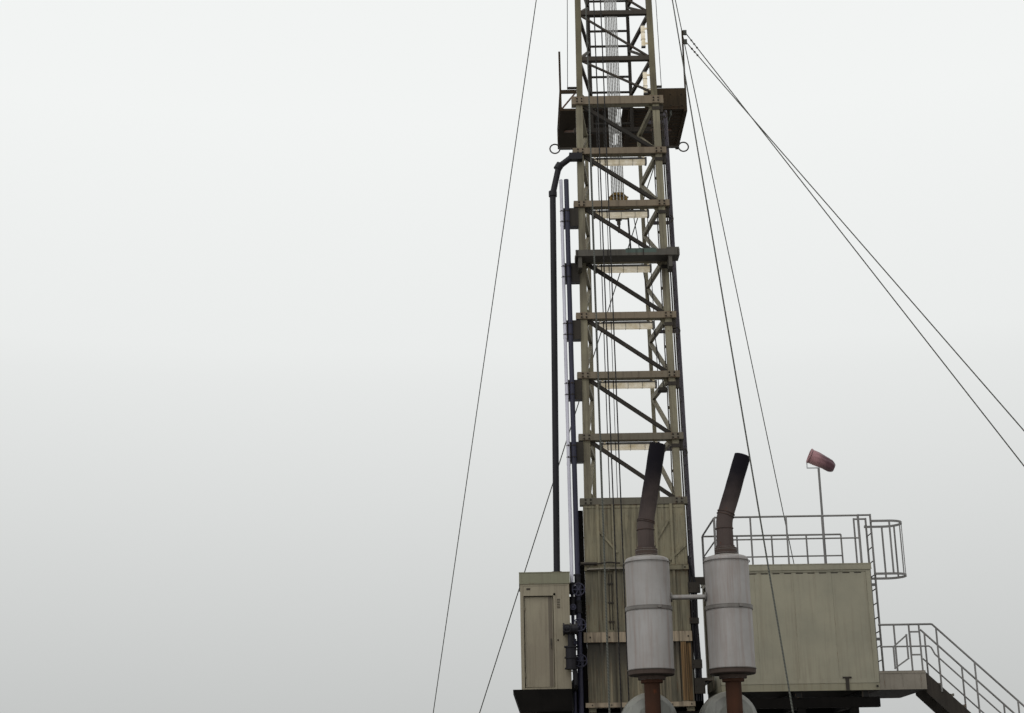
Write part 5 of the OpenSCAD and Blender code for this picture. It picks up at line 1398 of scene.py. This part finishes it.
tube(valves, [(-1.340, BRANCH_Y, 5.40), (-1.340, BRANCH_Y + 0.30, 5.40),
              (-1.372, PIPE_Y - 0.03, 5.40)], 0.046, 16)
ring(valves, (-1.54, BRANCH_Y - 0.17, 5.40), (0, 1, 0), 0.075, 0.010, 32, 8)
tube(valves, [(-1.54, BRANCH_Y - 0.09, 5.40), (-1.54, BRANCH_Y - 0.175, 5.40)], 0.014, 8)
for way in ((0.075, 0), (0, 0.075)):
    tube(valves, [(-1.54 - way[0], BRANCH_Y - 0.17, 5.40 - way[1]),
                  (-1.54 + way[0], BRANCH_Y - 0.17, 5.40 + way[1])], 0.006, 6)
piece("branch_valves", valves, pipe_black)
print("branch valves from z 4.22 to 6.62")


# %% [markdown]
# ## Pipes at the mast's right foot
#
# Hydraulic pipes climb the mast's right foot in a close row, held by boxed clamps. They are rigid, so
# tubes along a few points do for them.

# %% Foot pipes and clamps
foot_lines = bmesh.new()
for k, (x, y) in enumerate(((1.10, -1.00), (1.155, -1.02), (1.21, -0.985), (1.255, -1.03))):
    run = [(x, y, 3.95), (x + 0.015 * (k % 2), y, 4.7), (x - 0.01, y, 5.5), (x, y, 6.3),
           (x - 0.04 * k, y + 0.02, 7.0)]
    tube(foot_lines, run, 0.021, 10)
piece("foot_hydraulic_pipes", foot_lines, pipe_black)
foot_boxes = bmesh.new()
for low, high in (
    ((1.08, -1.07, 4.62), (1.30, -0.97, 4.80)),
    ((1.08, -1.07, 5.55), (1.28, -0.97, 5.67)),
    ((1.08, -1.08, 6.20), (1.34, -0.96, 6.42)),
    ((1.12, -1.06, 4.10), (1.34, -0.98, 4.42)),
):
    slab(foot_boxes, low, high)
    for x in (low[0] + 0.03, high[0] - 0.03):
        bolt(foot_boxes, (x, low[1], (low[2] + high[2]) / 2), (0, -1, 0), 0.026)
piece("foot_pipe_clamps", foot_boxes, greased_steel)
print("foot pipes at the right, panel ribs at y", WALL_Y)


# %% [markdown]
# ## Engines and drawworks
#
# The construction has each engine's crankcase, heads and radiator. What makes it read as an engine is the
# layer on top: head bolts, an exhaust manifold with a stub for each cylinder, an air pipe, injector lines
# and the bolts of the covers. The drawworks gets the layers of rope on its drum and the bolts of its chain
# cases.

# %% Engine fittings
SKID_TOP, ENGINE_HIGH = 1.25, 1.25
ENGINE_TOP = SKID_TOP + ENGINE_HIGH
manifolds = bmesh.new()
lines = bmesh.new()
for x in SILENCERS:
    for side in (-1, 1):
        for k in range(6):
            y = -7.0 + (k + 0.5) * 2.15 / 6
            head = Vector((x + side * 0.315, y, ENGINE_TOP - 0.375))
            out = Vector((side * math.cos(math.radians(20.4)), 0, math.sin(math.radians(20.4))))
            up = Vector((-out.z * side, 0, abs(out.x)))
            for i in (-1, 1):
                bolt(manifolds, head + out * 0.074 + up * 0.11 + Vector((0, i * 0.10, 0)), out, 0.03)
                bolt(manifolds, head + out * 0.074 - up * 0.11 + Vector((0, i * 0.10, 0)), out, 0.03)
            tube(manifolds, [head + up * 0.12 + out * 0.02, head + up * 0.19 + out * 0.03,
                             (x + side * 0.24, y, ENGINE_TOP - 0.10)], 0.036, 12)
            tube(lines, [head - up * 0.05 + out * 0.07, head - up * 0.06 + out * 0.11,
                         head - up * 0.20 + out * 0.10, (x + side * 0.37, y, 1.95)], 0.008, 8)
        tube(manifolds, [(x + side * 0.24, -6.85, ENGINE_TOP - 0.09),
                         (x + side * 0.24, -6.1, ENGINE_TOP - 0.07),
                         (x + side * 0.15, -5.98, ENGINE_TOP - 0.03)], 0.062, 16)
        tube(lines, [(x + side * 0.385, -6.9, 1.90), (x + side * 0.385, -4.95, 1.90)], 0.020, 10)
        for y in (-7.82, -7.68):
            for z in (1.45, 1.8, 2.15, 2.5, 2.68):
                bolt(lines, (x + side * 0.43, y, z), (side, 0, 0), 0.02)
    tube(lines, [(x, -7.0, ENGINE_TOP + 0.002), (x, -4.9, ENGINE_TOP + 0.002)], 0.05, 16)
    for k in range(8):
        bolt(lines, (x, -6.85 + k * 0.26, ENGINE_TOP + 0.05), (0, 0, 1), 0.03)
piece("engine_manifolds", manifolds, riser_steel)
piece("engine_lines_and_bolts", lines, engine_enamel)

rope_turns = bmesh.new()
DRUM_Y, DRUM_Z = -2.7, 2.2
COIL_HALF, COIL_R = 0.66, 0.364
ROPE_TURNS, TURN_STEPS = 30, 24
coil = []
for k in range(TURN_STEPS * ROPE_TURNS + 1):
    a = 2 * math.pi * k / TURN_STEPS
    coil.append((
        -COIL_HALF + 2 * COIL_HALF * k / (TURN_STEPS * ROPE_TURNS),
        DRUM_Y + COIL_R * math.cos(a),
        DRUM_Z + COIL_R * math.sin(a),
    ))
tube(rope_turns, coil, 0.021, 6)
piece("rope_on_drum", rope_turns, black_rope)

hoist_bolts = bmesh.new()
for side in (-1, 1):
    x = side * (0.95 + 0.11)
    for k in range(22):
        a = 2 * math.pi * k / 22
        y, z = DRUM_Y + 0.53 * math.cos(a), DRUM_Z + 0.53 * math.sin(a)
        if z > 1.75:
            bolt(hoist_bolts, (x, y, z), (side, 0, 0), 0.026)
    ring(hoist_bolts, (x, DRUM_Y, DRUM_Z), (1, 0, 0), 0.16, 0.02, 40, 8)
    for k in range(6):
        a = 2 * math.pi * k / 6
        bolt(hoist_bolts, (x, DRUM_Y + 0.09 * math.cos(a), DRUM_Z + 0.09 * math.sin(a)), (side, 0, 0), 0.03)
for k in range(10):
    for z in (1.42, 2.16):
        bolt(hoist_bolts, (-0.45 + k * 0.21, -4.21, z), (0, -1, 0), 0.028)
piece("drawworks_bolts", hoist_bolts, engine_enamel)
print("drum carries", ROPE_TURNS, "turns of rope")


# %% [markdown]
# ## Gratings, nosings and floor grip
#
# Walkways on a rig are bar grating or chequer plate, so that mud falls through. The treads get a nosing
# and bearing bars, the landing a border and bars, and the roof a few grip strips.

# %% Gratings and nosings
tread_low, tread_high = at_well("stair_treads")
landing_low, landing_high = at_well("landing")
grip = bmesh.new()
TREADS = 19
STAIR_RISE = 4.45
STAIR_RUN = STAIR_RISE / math.tan(math.radians(44.5))
for i in range(1, TREADS + 1):
    x = landing_high.x + 0.0003 + STAIR_RUN * i / (TREADS + 1) - 0.13
    z = STAIR_RISE * (1 - i / (TREADS + 1)) - 0.02
    slab(grip, (x + 0.226, tread_low.y + 0.004, z), (x + 0.250, tread_high.y - 0.004, z + 0.010))
    for k in range(5):
        slab(grip, (x + 0.01 + k * 0.042, tread_low.y + 0.004, z),
             (x + 0.018 + k * 0.042, tread_high.y - 0.004, z + 0.006))
    for y in (tread_low.y + 0.02, tread_high.y - 0.03):
        bolt(grip, (x + 0.06, y, z + 0.006), (0, 0, 1), 0.016)
for k in range(24):
    x = landing_low.x + 0.02 + k * 0.0395
    slab(grip, (x, landing_low.y + 0.02, landing_high.z),
         (x + 0.007, landing_high.y - 0.02, landing_high.z + 0.009))
for y in (landing_low.y, landing_high.y - 0.02):
    slab(grip, (landing_low.x + 0.01, y, landing_high.z), (landing_high.x, y + 0.02, landing_high.z + 0.012))
for k in range(14):
    x = roof_low.x + 0.12 + k * 0.24
    slab(grip, (x, roof_low.y + 0.2, roof_high.z), (x + 0.04, roof_high.y - 0.2, roof_high.z + 0.004))
piece("stair_and_landing_grip", grip, deck_steel)

MID_RAIL, STAIR_MID_RAIL = 4.959, 4.796
fascia = bmesh.new()
slab(fascia, (landing_low.x + 0.004, landing_low.y - 0.010, landing_low.z + 0.004),
     (landing_high.x - 0.004, landing_low.y, landing_low.z + 0.03))
slab(fascia, (landing_low.x + 0.004, landing_low.y - 0.010, landing_high.z - 0.04),
     (landing_high.x - 0.004, landing_low.y, landing_high.z - 0.004))
for k in range(3):
    x = landing_low.x + 0.10 + k * 0.38
    slab(fascia, (x, landing_low.y - 0.008, landing_low.z + 0.03),
         (x + 0.012, landing_low.y, landing_high.z - 0.04))
piece("landing_edge_channels", fascia, landing_enamel)

bends = bmesh.new()
tube(bends, [(6.028, -1.450, 5.4103), (6.048, -1.452, 5.4110), (6.062, -1.456, 5.408),
             (6.078, -1.4598, 5.398)], 0.0215, 12)
tube(bends, [(5.805, -1.450, MID_RAIL), (5.97, -1.452, MID_RAIL), (6.015, -1.455, MID_RAIL - 0.03),
             (6.076, -1.4598, STAIR_MID_RAIL - 0.002)], 0.0172, 10)
piece("rail_bends", bends, rail_primer)
print("treads from", round(tread_high.z, 2), "down to", round(tread_low.z, 2))


# %% [markdown]
# ## Board, crown and belly platform
#
# The racking board is braced by slanting angles under its fingers, which drilling mud has turned
# red-brown. Chains close its ends, and bolts hold it to the mast. The belly platform gets a toe angle and
# grating bars.

# %% Board braces and chains
board_low, board_high = at_well("racking_board")
braces = bmesh.new()
MAST_BACK = 0.95
for x in (-1.12, -0.56, 0.56, 1.62):
    z = board_low.z + (0.122 if abs(x) > 0.6 else 0.05)
    bar(braces, (x, board_low.y + 1.3, z), (max(-0.52, min(0.52, x)), MAST_BACK, z - 0.62), 0.05, 0.05)
for start, end in (
    ((-1.23, 1.09, 18.66), (-0.88, 1.09, 19.10)),
    ((0.92, 1.12, 18.66), (1.84, 1.12, 19.14)),
    ((1.85, 1.2, 18.66), (1.85, 2.9, 19.14)),
):
    bar(braces, start, end, 0.035, 0.035)
for k in range(8):
    slab(braces, (-1.24, 1.12 + k * 0.27, 18.657), (0.10, 1.15 + k * 0.27, 18.668))
piece("board_braces", braces, mud_red_steel)

chains = bmesh.new()
for y in (1.10, 3.28):
    start, end = Vector((-1.255, y, 19.08)), Vector((-1.255, y + (1.0 if y < 2 else -1.0), 19.08))
    for k in range(16):
        t = (k + 0.5) / 16
        place = start.lerp(end, t) - Vector((0, 0, 0.18 * 4 * t * (1 - t)))
        ring(chains, place, (1, 0, 0) if k % 2 else (0.2, 0, 1), 0.022, 0.006, 12, 6)
for z in (18.70, 19.00):
    for x in (0.90, 1.20, 1.50, 1.78):
        bolt(chains, (x, 1.06, z), (0, -1, 0), 0.03)
piece("board_chains_and_bolts", chains, greased_steel)

belly_low, belly_high = at_well("belly_platform")
belly_bars = bmesh.new()
for k in range(34):
    x = belly_low.x + 0.04 + k * 0.063
    if not (0.0 < x < 0.72 or x > 0.92):
        slab(belly_bars, (x, belly_low.y + 0.035, 13.776), (x + 0.010, belly_high.y - 0.02, 13.783))
for x in (belly_low.x + 0.03, -0.4, 0.4, belly_high.x - 0.05):
    slab(belly_bars, (x, belly_low.y - 0.006, 13.719), (x + 0.02, belly_low.y, 13.863))
slab(belly_bars, (0.03, -1.432, 13.906), (0.69, -1.172, 13.912))
for x in (0.10, 0.36, 0.62):
    bolt(belly_bars, (x, -1.41, 13.912), (0, 0, 1), 0.024)
piece("belly_platform_bars", belly_bars, greased_steel)

crown_high = at_well("crown_frame")[1]
crown_bolts = bmesh.new()
for side in (-1, 1):
    for k in range(7):
        for z in (28.12, 28.28):
            bolt(crown_bolts, (-0.84 + k * 0.28, side * 1.07625 - 0.01625, z), (0, side, 0), 0.034)
for x in (-0.25, 0.25):
    for y in (-0.06, 0.06):
        bolt(crown_bolts, (x, y, 28.74), (0, 0, 1), 0.03)
piece("crown_bolts", crown_bolts, greased_steel)
print("board from", round(board_low.x, 2), "to", round(board_high.x, 2), "crown top", round(crown_high.z, 2))


# %% [markdown]
# ## Guy line ends
#
# Three clips grip a guy line at either end, and a turnbuckle at the anchor takes up its slack. Without
# them a line looks cut off. Four lines come from the crown, one from the racking board, and two are escape
# lines.

# %% Clips and turnbuckles
GUYS = [
    ((-0.66, -1.0325, 27.897), (-1.36, -12.5, 0.2303)),
    ((0.66, -1.0325, 27.897), (1.36, -12.5, 0.2303)),
    ((-0.89, 1.0, 27.897), (-5.75, 12.5, 0.2303)),
    ((0.89, 1.0, 27.897), (7.1, 12.5, 0.2303)),
    ((1.50, 1.12, 18.487), (-5.01, 8.0, 0.2303)),
    ((1.97, 1.08, 20.747), (10.6, -8.0, 0.2303)),
    ((1.97, 1.08, 20.487), (10.6, -10.0, 0.2303)),
]
ends = bmesh.new()
for top, foot in GUYS:
    top, foot = Vector(top), Vector(foot)
    way = (foot - top).normalized()
    level = frame_along(way)[0]
    for k in range(3):
        place = top + way * (0.35 + 0.16 * k)
        ring(ends, place, way, 0.019, 0.009, 16, 6)
        tube(ends, [place - level * 0.03, place + level * 0.03], 0.010, 8)
        ring(ends, foot - way * (1.25 + 0.16 * k), way, 0.019, 0.009, 16, 6)
    turnbuckle = [foot - way * reach for reach in (1.10, 0.98, 0.42, 0.30)]
    tube(ends, turnbuckle, [0.018, 0.034, 0.034, 0.018], 12)
    for reach in (0.98, 0.42):
        bolt(ends, foot - way * reach, -way if reach > 0.5 else way, 0.05)
piece("guy_clips_and_turnbuckles", ends, greased_steel)
print("lines to the anchors:", len(GUYS))


# %% [markdown]
# ## Block and hook
#
# The travelling block carries its side plates on through bolts, and the hook has a spring latch. Both ride
# on the block's body.

# %% Block bolts and hook latch
block_low, block_high = at_well("travelling_block")
hoist_fittings = bmesh.new()
for side in (-1, 1):
    x = side * 0.21
    for y, z in ((-0.2, 15.68), (0.2, 15.68), (-0.2, 15.42), (0.2, 15.42), (0.0, 15.29)):
        bolt(hoist_fittings, (x, y, z), (side, 0, 0), 0.04)
    ring(hoist_fittings, (side * 0.215, 0, 15.53), (1, 0, 0), 0.10, 0.012, 32, 8)
tube(hoist_fittings, [(0, 0.085, 15.075), (0, 0.060, 14.99), (0, 0.052, 14.93)], [0.016, 0.013, 0.010], 10)
piece("block_bolts_and_latch", hoist_fittings, bare_sheave, body="block")
print("block from", round(block_low.z, 2), "to", round(block_high.z, 2))


# %% [markdown]
# ## Windsock
#
# The windsock is a nylon tube whose hem is sewn round its hoop. A light wind only half fills it, so it
# bulges behind the mouth, wrinkles along its length and droops at its tail. It is one closed cloth wall,
# three millimetres thick, made from rings: the first few turn the hem over the hoop, and the rest follow a
# sagging centre line, each drawn in a little by soft folds.

# %% Windsock cloth
SOCK_TILT = math.radians(24)
SOCK_LONG = 0.60
CLOTH_THICK = 0.003
mouth = Vector((4.17 - 0.183, -0.5, 8.98 + 0.290))
along = Vector((math.cos(SOCK_TILT), 0, -math.sin(SOCK_TILT)))
upward = Vector((math.sin(SOCK_TILT), 0, math.cos(SOCK_TILT)))
sidewise = Vector((0, 1, 0))
cloth = bmesh.new()
walls = []
SOCK_AROUND, SOCK_RINGS = 96, 44
HEM = [(0.020, 0.151), (-0.004, 0.1475), (-0.0135, 0.158), (-0.008, 0.171), (0.006, 0.1735), (0.018, 0.168)]
for wall in (0.0, CLOTH_THICK):
    rings = []
    for k in range(-len(HEM), SOCK_RINGS + 1):
        t = max(0.0, k / SOCK_RINGS)
        tail = max(0.0, (t - 0.78) / 0.22)
        if k < 0:
            reach, radius = HEM[k + len(HEM)]
            radius += wall if k + len(HEM) < 2 else -wall
        else:
            reach = 0.030 + (SOCK_LONG - 0.030) * t
            bulge = 0.008 * math.sin(math.pi * min(1.0, t * 1.9))
            radius = 0.158 + bulge - 0.010 * t - 0.060 * tail ** 2.4 - wall
        centre = mouth + along * reach - upward * 0.050 * t ** 1.8
        line = []
        for s in range(SOCK_AROUND):
            a = 2 * math.pi * s / SOCK_AROUND
            fold = 0.5 + 0.5 * math.sin(a * 9 + 2.4 * t + 1.3 * math.sin(a * 2 + 3 * t))
            crumple = noise.noise(Vector((math.cos(a) * 2.2, math.sin(a) * 2.2, t * 6.0)))
            drawn = radius - min(1.0, t * 4) * ((0.003 + 0.011 * t) * fold + 0.008 * abs(crumple))
            squeeze = 1.0 - 0.08 * t
            out = sidewise * drawn * math.cos(a)
            line.append(cloth.verts.new(centre + out + upward * drawn * squeeze * math.sin(a)))
        rings.append(line)
    walls.append(rings)
outer, inner = walls
for rings in walls:
    for a, b in zip(rings, rings[1:]):
        for s in range(SOCK_AROUND):
            t = (s + 1) % SOCK_AROUND
            cloth.faces.new((a[s], a[t], b[t], b[s]))
for k in (0, -1):
    for s in range(SOCK_AROUND):
        t = (s + 1) % SOCK_AROUND
        cloth.faces.new((outer[k][s], outer[k][t], inner[k][t], inner[k][s]))
flat_area = sum(face.calc_area() for face in cloth.faces) / 2
sock = piece("windsock_cloth", cloth, sock_nylon, body="sock", crease=70)
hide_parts("windsock")

seams = bmesh.new()
for reach, radius in ((0.026, 0.1695), (0.020, 0.1715)):
    ring(seams, mouth + along * reach, along, radius, 0.0016, 96, 6)
piece("windsock_hem_stitches", seams, sock_thread, body="sock")
print("windsock cloth", round(flat_area, 3), "m2")


# %% [markdown]
# ## Floor, sky and light
#
# The rig stands under a bright overcast sky. An overcast sky is one huge soft lamp, so the world itself
# lights the rig, and one wide, weak sun from the front left gives the shapes a direction. The pale floor
# throws some light back up. The sky that shows is set only for rays that come straight from the camera,
# through something clear or from a reflection, so matt surfaces get no light from it.

# %% Floor, sky and light
FLOOR_HALF = 90.0
SKY_HIGH = "#f2f4f3"
SKY_MIDDLE = "#e9ebea"
SKY_LOW = "#c2c4c3"

pale_floor, _, floor_shader, _ = new_material("pale_floor")
floor_shader.inputs["Base Color"].default_value = linear("#bdbbb6")
floor_shader.inputs["Roughness"].default_value = 0.9
floor_mesh = bpy.data.meshes.new("floor")
floor_mesh.from_pydata(
    [(x * FLOOR_HALF, y * FLOOR_HALF, -0.002) for x, y in ((-1, -1), (1, -1), (1, 1), (-1, 1))],
    [],
    [(0, 1, 2, 3)],
)
floor_mesh.materials.append(pale_floor)
floor = bpy.data.objects.new("floor", floor_mesh)
bpy.context.scene.collection.objects.link(floor)

world = bpy.data.worlds.new("overcast_sky")
bpy.context.scene.world = world
world.use_nodes = True
sky_tree = world.node_tree
sky_tree.nodes.clear()
sky_way = add(sky_tree, "SeparateXYZ", {"Vector": add(sky_tree, "TexCoord").outputs["Generated"]})
sky_rise = add(sky_tree, "MapRange", {"Value": sky_way.outputs["Z"], "From Min": 0.05, "From Max": 0.30})
sky_haze = add(
    sky_tree,
    "Mix",
    {"Factor": sky_rise.outputs["Result"], "A": linear(SKY_LOW), "B": linear(SKY_MIDDLE)},
    data_type="RGBA",
)
sky_top = add(sky_tree, "MapRange", {"Value": sky_way.outputs["Z"], "From Min": 0.28, "From Max": 0.44})
sky_seen = add(
    sky_tree,
    "Mix",
    {"Factor": sky_top.outputs["Result"], "A": sky_haze.outputs["Result"], "B": linear(SKY_HIGH)},
    data_type="RGBA",
)
sky_light = add(sky_tree, "Background", {"Color": linear("#eef1f4"), "Strength": 0.85})
sky_picture = add(sky_tree, "Background", {"Color": sky_seen.outputs["Result"], "Strength": 1.0})
paths = add(sky_tree, "LightPath")
straight = add(sky_tree, "Math", {0: paths.outputs["Is Camera Ray"], 1: paths.outputs["Is Glossy Ray"]},
               operation="MAXIMUM")
shown = add(sky_tree, "Math", {0: straight.outputs["Value"], 1: paths.outputs["Is Transmission Ray"]},
            operation="MAXIMUM")
sky_mix = add(
    sky_tree,
    "MixShader",
    {0: shown.outputs["Value"], 1: sky_light.outputs["Background"], 2: sky_picture.outputs["Background"]},
)
add(sky_tree, "OutputWorld", {"Surface": sky_mix.outputs["Shader"]})

sun_data = bpy.data.lights.new("soft_sun", "SUN")
sun_data.energy = 1.1
sun_data.angle = math.radians(50)
sun = bpy.data.objects.new("soft_sun", sun_data)
bpy.context.scene.collection.objects.link(sun)
sun.rotation_euler = (math.radians(48), 0, math.radians(-28))
bpy.context.scene.view_settings.view_transform = "Standard"
